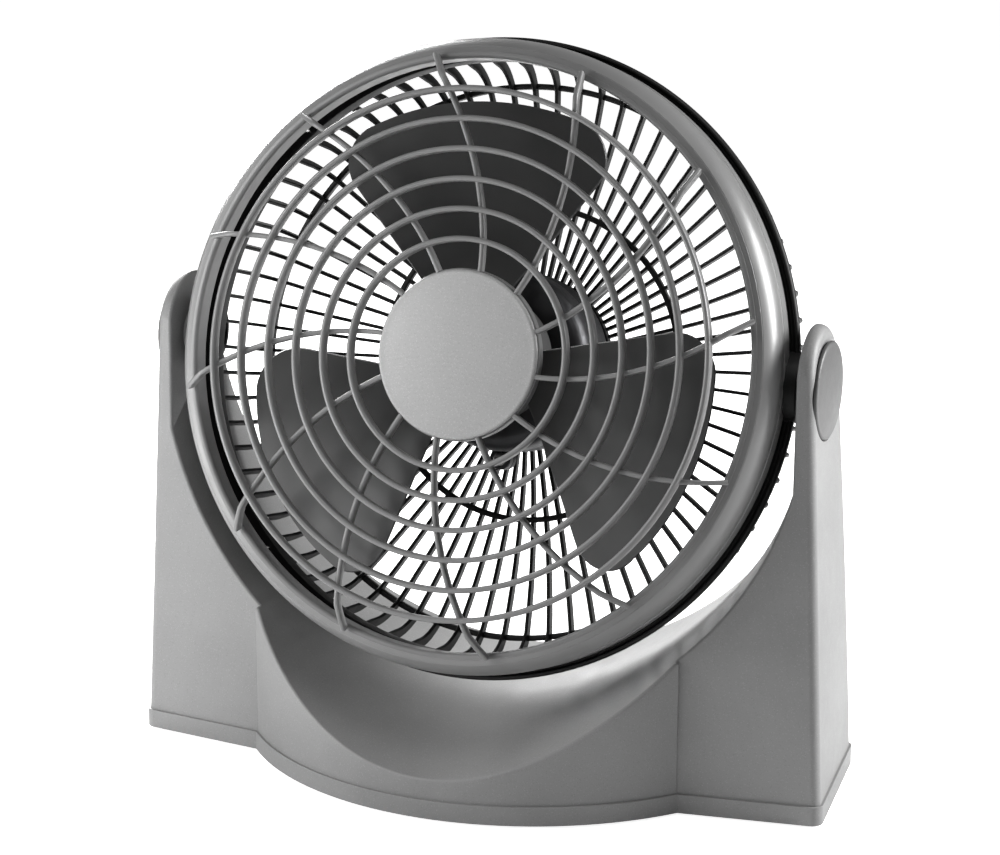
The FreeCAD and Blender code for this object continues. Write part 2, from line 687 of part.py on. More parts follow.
def switch_nut():
    corners = [Vector(7.0 * cos(radians(60 * k)), -BOX_BACK, 7.0 * sin(radians(60 * k)))
               for k in range(7)]
    nut = Part.Face(Part.makePolygon(corners)).extrude(Vector(0, 1.6, 0))
    return nut.cut(rod(4.5, -70, -60))


def speed_knob():
    """Pointer knob with its spindle."""
    spindle = rod(3.0, -72.0, -58.4)
    body = turned([(0.0, -78.0), (10.6, -78.0), ((12.0, -77.6), (12.6, -76.2)), (14.0, -68.6),
                   (9.0, -68.6), (9.0, -71.0), (0.0, -71.0)])
    grip = block(-2.2, 2.2, 77.0, 81.0, -12.0, 12.0)
    return fused([spindle, body, grip])


def terminal_block():
    strip = block(14.0, 22.0, 53.0, 60.0, -12.0, 12.0)
    wells = [Part.makeCylinder(1.4, 5, Vector(18.0, 61, 8.0 * k), Vector(0, -1, 0))
             for k in (-1, 0, 1)]
    return strip.cut(Part.makeCompound(wells))


# ---- assembly ------------------------------------------------------------------------------
def head_parts():
    right = {"tilt_bolt": tilt_bolt(), "tilt_washer": tilt_washer(),
             "friction_disc": friction_disc()}
    parts = {"front_grille": front_grille(), "centre_cap": centre_cap(),
             "rear_guard": rear_guard(), "grille_screws": grille_screws(),
             "motor_front_can": motor_front_can(), "motor_rear_can": motor_rear_can(),
             "motor_bolts": motor_bolts(), "motor_mount_screws": mount_screws(),
             "stator_core": stator_core(), "stator_coils": stator_coils(),
             "front_bearing": bearing(MOTOR_FRONT, 1), "rear_bearing": bearing(MOTOR_BACK, -1),
             "control_cover": control_cover(), "cord_gland": cord_gland(),
             "speed_switch": speed_switch(), "switch_nut": switch_nut(),
             "terminal_block": terminal_block(), "motor_shaft": motor_shaft(),
             "rotor_core": rotor_core(), "fan_blade": fan_blade(), "blade_nut": blade_nut(),
             "speed_knob": speed_knob()}
    for name, shape in right.items():
        parts["right_" + name] = shape
        parts["left_" + name] = mirrored(shape)
    return parts


def stand_parts():
    right = {"arm_bush": arm_bush(), "knob": tilt_knob(), "knob_insert": knob_insert()}
    parts = {"stand_shell": stand_shell(), "stand_base": stand_base(),
             "base_screws": base_screws(), "rubber_feet": rubber_feet()}
    for name, shape in right.items():
        parts["right_" + name] = shape
        parts["left_" + name] = mirrored(shape)
    return parts


os.makedirs("parts", exist_ok=True)
for name, shape in head_parts().items():
    save(name, set_head(shape))
for name, shape in stand_parts().items():
    save(name, set_stand(shape))
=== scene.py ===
"""Looks of a tilting table fan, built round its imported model.

Each sub-assembly is a class that holds its sizes in millimetres, builds its meshes in its own
plain axes and sets them in the row frame. Head parts are drawn with X to the right, Y up and Z
forward along the blade axis; parts of the tilt clamps with Z outward along the tilt axis.
"""

import json
import logging
import math
from dataclasses import dataclass, field
from enum import Enum
from typing import Sequence

import bmesh
import bpy
from mathutils import Matrix, Vector


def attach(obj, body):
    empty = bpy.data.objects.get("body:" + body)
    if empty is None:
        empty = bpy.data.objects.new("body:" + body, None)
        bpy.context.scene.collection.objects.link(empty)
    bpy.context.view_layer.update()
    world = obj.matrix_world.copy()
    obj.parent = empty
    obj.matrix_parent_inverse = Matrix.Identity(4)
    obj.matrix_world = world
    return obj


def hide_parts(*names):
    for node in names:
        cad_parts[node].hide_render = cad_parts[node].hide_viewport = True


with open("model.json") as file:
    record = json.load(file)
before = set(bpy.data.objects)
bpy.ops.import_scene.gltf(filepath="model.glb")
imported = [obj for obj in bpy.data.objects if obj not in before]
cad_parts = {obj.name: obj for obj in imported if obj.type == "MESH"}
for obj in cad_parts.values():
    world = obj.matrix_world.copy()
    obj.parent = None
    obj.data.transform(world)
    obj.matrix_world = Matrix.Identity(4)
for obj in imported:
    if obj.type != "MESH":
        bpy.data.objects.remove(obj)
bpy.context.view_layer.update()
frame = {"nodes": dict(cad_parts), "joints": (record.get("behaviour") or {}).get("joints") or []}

LOG = logging.getLogger("table_fan")
MM = 0.001
MERGE = 0.002     # points nearer than this, in mm, are one
Profile = list[tuple[float, float]]


class Side(Enum):
    """The two arms of the stand."""

    RIGHT = 1
    LEFT = -1


class Shading(Enum):
    """How a mesh takes the light: the angle past which an edge stays crisp, in degrees."""

    MOULDED = 35.0
    MACHINED = 20.0


# ---- placing -----------------------------------------------------------------------------------
def joint(name: str) -> dict:
    """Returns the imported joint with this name."""
    return next(j for j in frame["joints"] if j["name"] == name)


def axes_matrix(right: Vector, up: Vector, forward: Vector, origin: Vector) -> Matrix:
    """Returns the matrix that sends a part's own axes, in millimetres, to the row frame.

    Args:
        right: where the part's X axis points.
        up: where its Y axis points.
        forward: where its Z axis points.
        origin: where its origin lies, in metres.
    """
    turn = Matrix((right, up, forward)).transposed().to_4x4()
    return Matrix.Translation(origin) @ turn @ Matrix.Scale(MM, 4)


def head_matrix() -> Matrix:
    """Works out the placing of the head's parts, from the tilt and blade axes of the frame.

    Returns:
        the matrix from the head's axes, in millimetres, to the row frame.
    """
    right = Vector(joint("head_tilt")["axis"]).normalized()
    forward = Vector(joint("blade_spin")["axis"]).normalized()
    return axes_matrix(right, forward.cross(right), forward, Vector(joint("head_tilt")["pos_m"]))


def clamp_matrix(side: Side) -> Matrix:
    """Works out the placing of one tilt clamp's parts, outward along the tilt axis.

    Args:
        side: which arm.

    Returns:
        the matrix from the clamp's axes, in millimetres, to the row frame.
    """
    out = Vector(joint("head_tilt")["axis"]).normalized() * side.value
    up = Vector((0.0, 0.0, 1.0))
    return axes_matrix(up.cross(out), up, out, Vector(joint("head_tilt")["pos_m"]))


# ---- mesh helpers ------------------------------------------------------------------------------
def rounded(points: Profile, radius: float, steps: int = 4) -> Profile:
    """Rounds every corner of a closed outline.

    Args:
        points: the corners, in order.
        radius: the rounding, cut down where a side is too short for it.
        steps: straight pieces in each round.

    Returns:
        the new outline, with steps + 1 points in place of each corner.
    """
    smooth: Profile = []
    count = len(points)
    for k, corner in enumerate(points):
        here = Vector(corner)
        before, after = Vector(points[k - 1]) - here, Vector(points[(k + 1) % count]) - here
        reach = min(radius, before.length * 0.45, after.length * 0.45)
        start, end = here + before.normalized() * reach, here + after.normalized() * reach
        for n in range(steps + 1):
            t = n / steps
            smooth.append(tuple(start * (1 - t) ** 2 + here * 2 * t * (1 - t) + end * t ** 2))
    return smooth


def link(name: str, mesh: bpy.types.Mesh) -> bpy.types.Object:
    """Puts a mesh in the scene, as a new object at the origin.

    Args:
        name: the object's name.
        mesh: its mesh.

    Returns:
        the object.
    """
    obj = bpy.data.objects.new(name, mesh)
    bpy.context.scene.collection.objects.link(obj)
    return obj


def set_in_place(bm: bmesh.types.BMesh, place: Matrix) -> None:
    """Merges a bmesh's doubles, sets it in its place and turns its faces outward.

    Args:
        bm: the mesh that is being built.
        place: from its own axes to the row frame.
    """
    bmesh.ops.remove_doubles(bm, verts=bm.verts, dist=MERGE)
    bm.transform(place)
    bmesh.ops.recalc_face_normals(bm, faces=bm.faces)


def baked(name: str, bm: bmesh.types.BMesh) -> bpy.types.Mesh:
    """Turns a bmesh into a new mesh, and frees it.

    Args:
        name: the mesh's name.
        bm: what it is made from.

    Returns:
        the mesh.
    """
    mesh = bpy.data.meshes.new(name)
    bm.to_mesh(mesh)
    bm.free()
    return mesh


def finish_mesh(name: str, bm: bmesh.types.BMesh, place: Matrix, shading: Shading,
                ) -> bpy.types.Object:
    """Makes an object from a bmesh, cleaned, shaded and set in the row frame.

    Args:
        name: the object's name.
        bm: its mesh, in its own axes.
        place: from its own axes to the row frame.
        shading: how it takes the light.

    Returns:
        the object.
    """
    set_in_place(bm, place)
    mesh = baked(name, bm)
    shade(mesh, shading)
    return link(name, mesh)


def shade(mesh: bpy.types.Mesh, shading: Shading) -> None:
    """Shades a mesh smooth and keeps its sharper edges crisp."""
    mesh.polygons.foreach_set("use_smooth", [True] * len(mesh.polygons))
    mesh.set_sharp_from_angle(angle=math.radians(shading.value))


def add_lathe(bm: bmesh.types.BMesh, profile: Profile, steps: int,
              centre: tuple[float, float] = (0.0, 0.0)) -> None:
    """Adds a turned solid about Z to a bmesh.

    Args:
        bm: the mesh that is being built.
        profile: closed outline of (radius, height) points.
        steps: flats round the turn.
        centre: where the turning axis stands in X and Y.
    """
    rows = []
    for k in range(steps):
        angle = 2 * math.pi * k / steps
        c, s = math.cos(angle), math.sin(angle)
        rows.append([bm.verts.new((centre[0] + r * c, centre[1] + r * s, z)) for r, z in profile])
    count = len(profile)
    for k in range(steps):
        row, following = rows[k], rows[(k + 1) % steps]
        for n in range(count):
            m = (n + 1) % count
            if profile[n][0] < 1e-6 and profile[m][0] < 1e-6:
                continue
            corners = [row[n], row[m], following[m], following[n]]
            bm.faces.new(corners)


def arc(start: tuple[float, float], middle: tuple[float, float], end: tuple[float, float],
        steps: int) -> Profile:
    """Walks the circle through three points, from just after the first to the last.

    Args:
        start: the first point.
        middle: a point on the way.
        end: the last point.
        steps: how many points to give.

    Returns:
        the points, without the first.
    """
    (ax, ay), (bx, by), (cx, cy) = start, middle, end
    d = 2 * (ax * (by - cy) + bx * (cy - ay) + cx * (ay - by))
    a2, b2, c2 = ax * ax + ay * ay, bx * bx + by * by, cx * cx + cy * cy
    x = (a2 * (by - cy) + b2 * (cy - ay) + c2 * (ay - by)) / d
    y = (a2 * (cx - bx) + b2 * (ax - cx) + c2 * (bx - ax)) / d
    first, via, last = (math.atan2(p[1] - y, p[0] - x) for p in (start, middle, end))
    full = 2 * math.pi
    sweep, through = (last - first) % full, (via - first) % full
    if through > sweep:
        sweep -= full
    radius = math.hypot(ax - x, ay - y)
    return [(x + radius * math.cos(first + sweep * k / steps),
             y + radius * math.sin(first + sweep * k / steps)) for k in range(1, steps + 1)]


def drawn_in(outline: Profile, draw: float) -> Profile:
    """Moves an outline inward by a distance, corner by corner.

    Args:
        outline: the corners, in order.
        draw: how far each side moves.

    Returns:
        the new corners.
    """
    count = len(outline)
    area = sum(outline[k - 1][0] * outline[k][1] - outline[k][0] * outline[k - 1][1]
               for k in range(count))
    inner: Profile = []
    for k in range(count):
        before, here, after = (Vector(outline[(k + n) % count]) for n in (-1, 0, 1))
        into, out = (here - before).normalized(), (after - here).normalized()
        normal = Vector((-(into.y + out.y), into.x + out.x)) * math.copysign(1.0, area)
        if normal.length > 1e-6:
            here = here + normal.normalized() * draw
        inner.append((here.x, here.y))
    return inner


def add_prism(bm: bmesh.types.BMesh, outline: Profile, low: float, high: float,
              inset: float = 0.4) -> None:
    """Adds an upright prism with chamfered rims to a bmesh.

    Args:
        bm: the mesh that is being built.
        outline: the plan, as (x, y) corners in order.
        low: height of its lower face.
        high: height of its upper face.
        inset: size of the chamfers.
    """
    levels = [(low, inset), (low + inset, 0.0), (high - inset, 0.0), (high, inset)]
    rows = [[bm.verts.new((x, y, height)) for x, y in (drawn_in(outline, draw) if draw else outline)]
            for height, draw in levels]
    count = len(outline)
    for low_row, high_row in zip(rows, rows[1:]):
        for n in range(count):
            m = (n + 1) % count
            bm.faces.new([low_row[n], low_row[m], high_row[m], high_row[n]])
    bm.faces.new(rows[0][::-1])
    bm.faces.new(rows[-1])


def hexagon(radius: float, x: float = 0.0) -> Profile:
    """Returns the six corners of a nut or a bolt's head whose middle is on the X axis."""
    turns = [math.radians(60 * k) for k in range(6)]
    return [(x + radius * math.cos(turn), radius * math.sin(turn)) for turn in turns]


def turned(name: str, profile: Profile, place: Matrix, steps: int = 96,
           shading: Shading = Shading.MOULDED) -> bpy.types.Object:
    """Makes one turned piece about its own Z axis.

    Args:
        name: the object's name.
        profile: closed outline of (radius, height) points.
        place: from its own axes to the row frame.
        steps: flats round the turn.
        shading: how it takes the light.

    Returns:
        the object.
    """
    bm = bmesh.new()
    add_lathe(bm, profile, steps)
    return finish_mesh(name, bm, place, shading)


def joined(name: str, pieces: Sequence[bpy.types.Object]) -> bpy.types.Object:
    """Joins the meshes of several objects, which are removed.

    Args:
        name: the new object's name.
        pieces: the objects, all set in the row frame.

    Returns:
        the new object.
    """
    bm = bmesh.new()
    for piece in pieces:
        bm.from_mesh(piece.data)
    mesh = baked(name, bm)
    for piece in pieces:
        bpy.data.objects.remove(piece)
    return link(name, mesh)


# ---- node trees --------------------------------------------------------------------------------
class Nodes:
    """Adds and links the nodes of one tree.

    Attributes:
        tree: the node tree.
        prefixes: how the type names of its nodes may start, in the order they are tried.
    """

    tree: bpy.types.NodeTree
    prefixes: Sequence[str] = ("ShaderNode",)

    def add(self, kind: str, inputs: dict | None = None, **settings: object) -> bpy.types.Node:
        """Adds a node, and sets or links its inputs.

        Args:
            kind: the node's type name, without its prefix.
            inputs: values or sockets by input name or number.
            settings: attributes of the node.

        Returns:
            the node.
        """
        for prefix in self.prefixes:
            try:
                node = self.tree.nodes.new(prefix + kind)
                break
            except RuntimeError:
                continue
        for key, value in settings.items():
            setattr(node, key, value)
        for key, value in (inputs or {}).items():
            if isinstance(value, bpy.types.NodeSocket):
                self.tree.links.new(value, node.inputs[key])
            else:
                node.inputs[key].default_value = value
        return node

    def math(self, operation: str, first: object, second: object = 0.0) -> bpy.types.NodeSocket:
        """Returns the result of a Math node on two numbers or sockets."""
        return self.add("Math", {0: first, 1: second}, operation=operation).outputs[0]


@dataclass
class Tree(Nodes):
    """A geometry node tree under construction.

    Attributes:
        name: the tree's name.
        tree: the node tree itself.
        values: the values of its named inputs.
    """

    prefixes = ("GeometryNode", "ShaderNode", "FunctionNode")
    name: str
    tree: bpy.types.NodeTree = field(init=False)
    values: dict[str, float] = field(init=False, default_factory=dict)

    def __post_init__(self) -> None:
        """Starts the tree with its geometry output."""
        self.tree = bpy.data.node_groups.new(self.name, "GeometryNodeTree")
        self.tree.interface.new_socket("Geometry", in_out="INPUT", socket_type="NodeSocketGeometry")
        self.tree.interface.new_socket("Geometry", in_out="OUTPUT", socket_type="NodeSocketGeometry")
        self.source = self.tree.nodes.new("NodeGroupInput")
        self.sink = self.tree.nodes.new("NodeGroupOutput")

    def size(self, name: str, value: float) -> bpy.types.NodeSocket:
        """Makes a named number input of the tree, and keeps its value for build().

        Args:
            name: the input's name.
            value: its value; a whole number makes a whole-number input.

        Returns:
            the input's socket.
        """
        kind = "NodeSocketInt" if isinstance(value, int) else "NodeSocketFloat"
        self.tree.interface.new_socket(name, in_out="INPUT", socket_type=kind)
        self.values[name] = value
        return self.source.outputs[name]

    def vector(self, x: object = 0.0, y: object = 0.0, z: object = 0.0) -> bpy.types.NodeSocket:
        """Returns a vector socket made of three numbers or sockets."""
        return self.add("CombineXYZ", {0: x, 1: y, 2: z}).outputs[0]

    def joined(self, *parts: bpy.types.NodeSocket) -> bpy.types.NodeSocket:
        """Joins several geometries.

        Args:
            parts: their sockets.

        Returns:
            the socket of the whole.
        """
        join = self.tree.nodes.new("GeometryNodeJoinGeometry")
        for part in parts:
            self.tree.links.new(part, join.inputs[0])
        return join.outputs[0]

    def build(self, geometry: bpy.types.NodeSocket, material: bpy.types.Material, place: Matrix,
              shading: Shading = Shading.MOULDED, seed: bpy.types.Mesh | None = None,
              ) -> bpy.types.Object:
        """Runs the tree and sets its result in the row frame.

        Args:
            geometry: the socket that holds the finished geometry.
            material: the finish that the tree sets.
            place: from the part's own axes to the row frame.
            shading: how the mesh takes the light.
            seed: the mesh that comes in at the tree's Geometry input, where it has one.

        Returns:
            a plain mesh object, with no modifier left on it.
        """
        real = self.add("RealizeInstances", {0: geometry})
        painted = self.add("SetMaterial", {0: real.outputs[0], "Material": material})
        self.tree.links.new(painted.outputs[0], self.sink.inputs[0])
        carrier = link(self.name, seed or bpy.data.meshes.new(self.name + "_seed"))
        modifier = carrier.modifiers.new("shape", "NODES")
        modifier.node_group = self.tree
        for item in self.tree.interface.items_tree:
            if item.in_out == "INPUT" and item.name in self.values:
                modifier[item.identifier] = self.values[item.name]
        graph = bpy.context.evaluated_depsgraph_get()
        mesh = bpy.data.meshes.new_from_object(carrier.evaluated_get(graph))
        carrier.modifiers.remove(modifier)
        bm = bmesh.new()
        bm.from_mesh(mesh)
        set_in_place(bm, place)
        bm.to_mesh(mesh)
        bm.free()
        shade(mesh, shading)
        carrier.data = mesh
        return carrier


def bar_section(tree: Tree, width: object, depth: object, rounding: object,
                ) -> bpy.types.NodeSocket:
    """Draws a rounded rectangle to sweep along a path.

    Args:
        tree: the tree that is being built.
        width: its size across the bar.
        depth: its size from front to back.
        rounding: the radius of its corners.

    Returns:
        the closed curve.
    """
    box = tree.add("CurvePrimitiveQuadrilateral", {"Width": width, "Height": depth})
    fillet = tree.add("FilletCurve", {"Curve": box.outputs[0], "Count": 3, "Radius": rounding},
                      mode="POLY")
    return fillet.outputs[0]


def spun(tree: Tree, geometry: bpy.types.NodeSocket, count: bpy.types.NodeSocket,
         first: float) -> bpy.types.NodeSocket:
    """Spaces copies of a geometry evenly about Z.

    Args:
        tree: the tree that is being built.
        geometry: what is repeated.
        count: how many copies.
        first: the first copy's turn, in degrees.

    Returns:
        the copies, as instances.
    """
    points = tree.add("MeshLine", {"Count": count, "Offset": (0.0, 0.0, 0.0)})
    index = tree.add("InputIndex").outputs[0]
    step = tree.math("DIVIDE", 2 * math.pi, count)
    turn = tree.math("ADD", tree.math("MULTIPLY", index, step), math.radians(first))
    copies = tree.add("InstanceOnPoints", {"Points": points.outputs[0], "Instance": geometry,
                                           "Rotation": tree.vector(z=turn)})
    return copies.outputs[0]


def ring_of(name: str, what: str, count: int, first: float, seed: bpy.types.Mesh,
            material: bpy.types.Material, place: Matrix) -> bpy.types.Object:
    """Makes one object of copies of a mesh, spaced evenly about the head's axis.

    Args:
        name: the object's name.
        what: the name of the tree's input for their number.
        count: how many copies.
        first: the first copy's turn, in degrees.
        seed: the mesh that is repeated.
        material: their finish.
        place: from the head's axes to the row frame.

    Returns:
        the object.
    """
    tree = Tree(name)
    copies = spun(tree, tree.source.outputs["Geometry"], tree.size(what, count), first)
    return tree.build(copies, material, place, seed=seed)


def mirrored_pairs(tree: Tree, geometry: bpy.types.NodeSocket,
                   places: Sequence[tuple[float, float, float]]) -> bpy.types.NodeSocket:
    """Copies a geometry to both ends of each pair that is mirrored in X.

    Args:
        tree: the tree that is being built.
        geometry: what is repeated.
        places: the right-hand place of each pair.

    Returns:
        the copies, as instances.
    """
    rows = []
    for x, y, z in places:
        row = tree.add("MeshLine", {"Count": 2, "Start Location": (-x, y, z),
                                    "Offset": (2 * x, 0.0, 0.0)})
        rows.append(row.outputs[0])
    copies = tree.add("InstanceOnPoints", {"Points": tree.joined(*rows), "Instance": geometry})
    return copies.outputs[0]


# ---- surface effects that finishes share -------------------------------------------------------
@dataclass
class Wiring(Nodes):
    """Adds and links the nodes of one shader tree.

    Attributes:
        tree: the material's or the group's node tree.
    """

    tree: bpy.types.NodeTree

    def spread(self, value: object, low: float, high: float, start: float = 0.0,
               end: float = 1.0) -> bpy.types.NodeSocket:
        """Moves a value from one range into another.

        Args:
            value: the value.
            low: where the new range starts.
            high: where the new range ends.
            start: where the old range starts.
            end: where the old range ends.

        Returns:
            the new value, kept inside the new range.
        """
        node = self.add("MapRange", {"Value": value, "From Min": start, "From Max": end,
                                     "To Min": low, "To Max": high})
        return node.outputs[0]

    def mix(self, share: object, first: object, second: object) -> bpy.types.NodeSocket:
        """Blends one colour into another.

        Args:
            share: how much of the second.
            first: the first colour.
            second: the second colour.

        Returns:
            the blend.
        """
        node = self.add("Mix", data_type="RGBA")
        for index, value in ((0, share), (6, first), (7, second)):
            if isinstance(value, bpy.types.NodeSocket):
                self.tree.links.new(value, node.inputs[index])
            else:
                node.inputs[index].default_value = value
        return node.outputs[2]


@dataclass
class Effect:
    """A shader node group: one surface effect with named sizes in and masks or heights out.

    Attributes:
        name: the group's name.
        sizes: its inputs and their usual values.
        results: its outputs.
    """

    name: str
    sizes: dict[str, float]
    results: tuple[str, ...]
    wiring: Wiring = field(init=False)

    def __post_init__(self) -> None:
        """Makes the group's sockets."""
        tree = bpy.data.node_groups.new(self.name, "ShaderNodeTree")
        for size, value in self.sizes.items():
            socket = tree.interface.new_socket(size, in_out="INPUT", socket_type="NodeSocketFloat")
            socket.default_value = value
        for result in self.results:
            tree.interface.new_socket(result, in_out="OUTPUT", socket_type="NodeSocketFloat")
        self.source = tree.nodes.new("NodeGroupInput")
        self.sink = tree.nodes.new("NodeGroupOutput")
        self.wiring = Wiring(tree)

    def give(self, result: str, value: bpy.types.NodeSocket) -> None:
        """Links a value to one of the group's outputs."""
        self.wiring.tree.links.new(value, self.sink.inputs[result])

    def place(self, wiring: Wiring, **sizes: float) -> bpy.types.Node:
        """Places this effect in a material, with the material's own sizes.

        Args:
            wiring: the material's wiring.
            sizes: the inputs that the material sets, by name.

        Returns:
            the effect's node.
        """
        node = wiring.add("Group", node_tree=self.wiring.tree)
        for size, value in sizes.items():
            node.inputs[size].default_value = value
        return node


def moulded_grain() -> Effect:
    """Makes the skin of a moulding: fine pits, a slow drift of tone and uneven gloss.

    Returns:
        the effect, sized by its pits and its drift, in mm.
    """
    effect = Effect("moulded_grain", {"Cell": 0.5, "Drift": 60.0}, ("Height", "Tone", "Gloss"))
    w, source = effect.wiring, effect.source
    spot = w.add("TexCoord").outputs["Object"]
    fine = w.math("DIVIDE", 1000.0, source.outputs["Cell"])
    slow = w.math("DIVIDE", 1000.0, source.outputs["Drift"])
    skin = w.add("TexNoise", {"Vector": spot, "Scale": fine, "Detail": 2.0, "Roughness": 0.6})
    pits = w.add("TexVoronoi", {"Vector": spot, "Scale": fine}, feature="SMOOTH_F1")
    drift = w.add("TexNoise", {"Vector": spot, "Scale": slow, "Detail": 3.0, "Roughness": 0.55})
    patches = w.add("TexNoise", {"Vector": spot, "Scale": w.math("MULTIPLY", slow, 4.0),
                                 "Detail": 4.0, "Roughness": 0.65})
    height = w.math("ADD", w.math("MULTIPLY", skin.outputs[0], 0.6),
                    w.math("MULTIPLY", pits.outputs["Distance"], 0.5))
    effect.give("Height", height)
    effect.give("Tone", w.spread(drift.outputs[0], 0.0, 1.0, 0.3, 0.7))
    effect.give("Gloss", w.spread(patches.outputs[0], 0.0, 1.0, 0.3, 0.7))
    return effect


def pearl_specks() -> Effect:
    """Makes the mica specks in pearly plastic, as light and dark masks.

    Returns:
        the effect, sized by the specks' spacing, in mm, and their share.
    """
    effect = Effect("pearl_specks", {"Cell": 0.5, "Share": 0.3}, ("Light", "Dark"))
    w, source = effect.wiring, effect.source
    spot = w.add("TexCoord").outputs["Object"]
    scale = w.math("DIVIDE", 1000.0, source.outputs["Cell"])
    cells = w.add("TexVoronoi", {"Vector": spot, "Scale": scale})
    lottery = w.add("SeparateColor", {0: cells.outputs["Color"]})
    core = w.spread(cells.outputs["Distance"], 1.0, 0.0, 0.15, 0.55)
    edge = w.math("SUBTRACT", 1.0, source.outputs["Share"])
    light = w.math("GREATER_THAN", lottery.outputs[0], edge)
    dark = w.math("GREATER_THAN", lottery.outputs[1], edge)
    effect.give("Light", w.math("MULTIPLY", light, core))
    effect.give("Dark", w.math("MULTIPLY", dark, core))
    return effect


def settled_dust() -> Effect:
    """Makes a mask of the dust that lies on surfaces that face up.

    Returns:
        the effect, sized by the amount of dust.
    """
    effect = Effect("settled_dust", {"Amount": 0.3}, ("Mask",))
    w = effect.wiring
    spot = w.add("TexCoord").outputs["Object"]
    up = w.add("SeparateXYZ", {0: w.add("NewGeometry").outputs["Normal"]}).outputs[2]
    film = w.add("TexNoise", {"Vector": spot, "Scale": 45.0, "Detail": 6.0, "Roughness": 0.7})
    lies = w.spread(up, 0.0, 1.0, 0.35, 1.0)
    patchy = w.spread(film.outputs[0], 0.35, 1.0, 0.35, 0.65)
    share = w.math("MULTIPLY", w.math("MULTIPLY", lies, patchy), effect.source.outputs["Amount"])
    effect.give("Mask", share)
    return effect


def rubbed_edges() -> Effect:
    """Makes a mask of the edges that hands and cleaning have rubbed paler.

    Returns:
        the effect, sized by its width, in mm, and its amount.
    """
    effect = Effect("rubbed_edges", {"Width": 0.6, "Amount": 0.4}, ("Mask",))
    w = effect.wiring
    spot = w.add("TexCoord").outputs["Object"]
    reach = w.math("MULTIPLY", effect.source.outputs["Width"], 0.001)
    bevel = w.add("Bevel", {"Radius": reach}, samples=4)
    true = w.add("NewGeometry").outputs["Normal"]
    lean = w.add("VectorMath", {0: bevel.outputs[0], 1: true}, operation="DOT_PRODUCT").outputs["Value"]
    worn = w.spread(lean, 1.0, 0.0, 0.75, 0.99)
    broken = w.add("TexNoise", {"Vector": spot, "Scale": 120.0, "Detail": 4.0, "Roughness": 0.6})
    patchy = w.spread(broken.outputs[0], 0.3, 1.0, 0.35, 0.6)
    effect.give("Mask", w.math("MULTIPLY", w.math("MULTIPLY", worn, patchy),
                               effect.source.outputs["Amount"]))
    return effect


def banding() -> Effect:
    """Makes even ridges across one direction: wire turns, sheet edges or brushing.

    Returns:
        the effect, sized by its pitch, in mm, and turned by its direction.
    """
    effect = Effect("banding", {"Pitch": 0.5, "Across X": 0.0, "Across Y": 0.0, "Across Z": 1.0},
                    ("Height",))
    w, source = effect.wiring, effect.source
    spot = w.add("TexCoord").outputs["Object"]
    across = w.add("CombineXYZ", {0: source.outputs["Across X"], 1: source.outputs["Across Y"],
                                  2: source.outputs["Across Z"]}).outputs[0]
    along = w.add("VectorMath", {0: spot, 1: across}, operation="DOT_PRODUCT").outputs["Value"]
    turns = w.math("DIVIDE", w.math("MULTIPLY", along, 1000.0), source.outputs["Pitch"])
    wave = w.math("SINE", w.math("MULTIPLY", turns, 2 * math.pi))
    effect.give("Height", w.spread(wave, 0.0, 1.0, -1.0, 1.0))
    return effect


@dataclass
class Effects:
    """The shared effects, each built once."""

    grain: Effect = field(default_factory=moulded_grain)
    specks: Effect = field(default_factory=pearl_specks)
    dust: Effect = field(default_factory=settled_dust)
    edges: Effect = field(default_factory=rubbed_edges)
    bands: Effect = field(default_factory=banding)


# ---- finishes ----------------------------------------------------------------------------------
def grey(tone: float, warmth: float = 0.0) -> tuple[float, float, float, float]:
    """Returns a near-neutral colour, a little warmer or cooler than grey."""
    return (tone * (1 + warmth), tone, tone * (1 - warmth), 1.0)


def started(name: str) -> tuple[bpy.types.Material, Wiring, bpy.types.Node]:
    """Starts a material on its Principled shader.

    Args:
        name: the material's name.

    Returns:
        the material, its wiring and its shader.
    """
    material = bpy.data.materials.new(name)
    material.use_nodes = True
    return material, Wiring(material.node_tree), material.node_tree.nodes["Principled BSDF"]


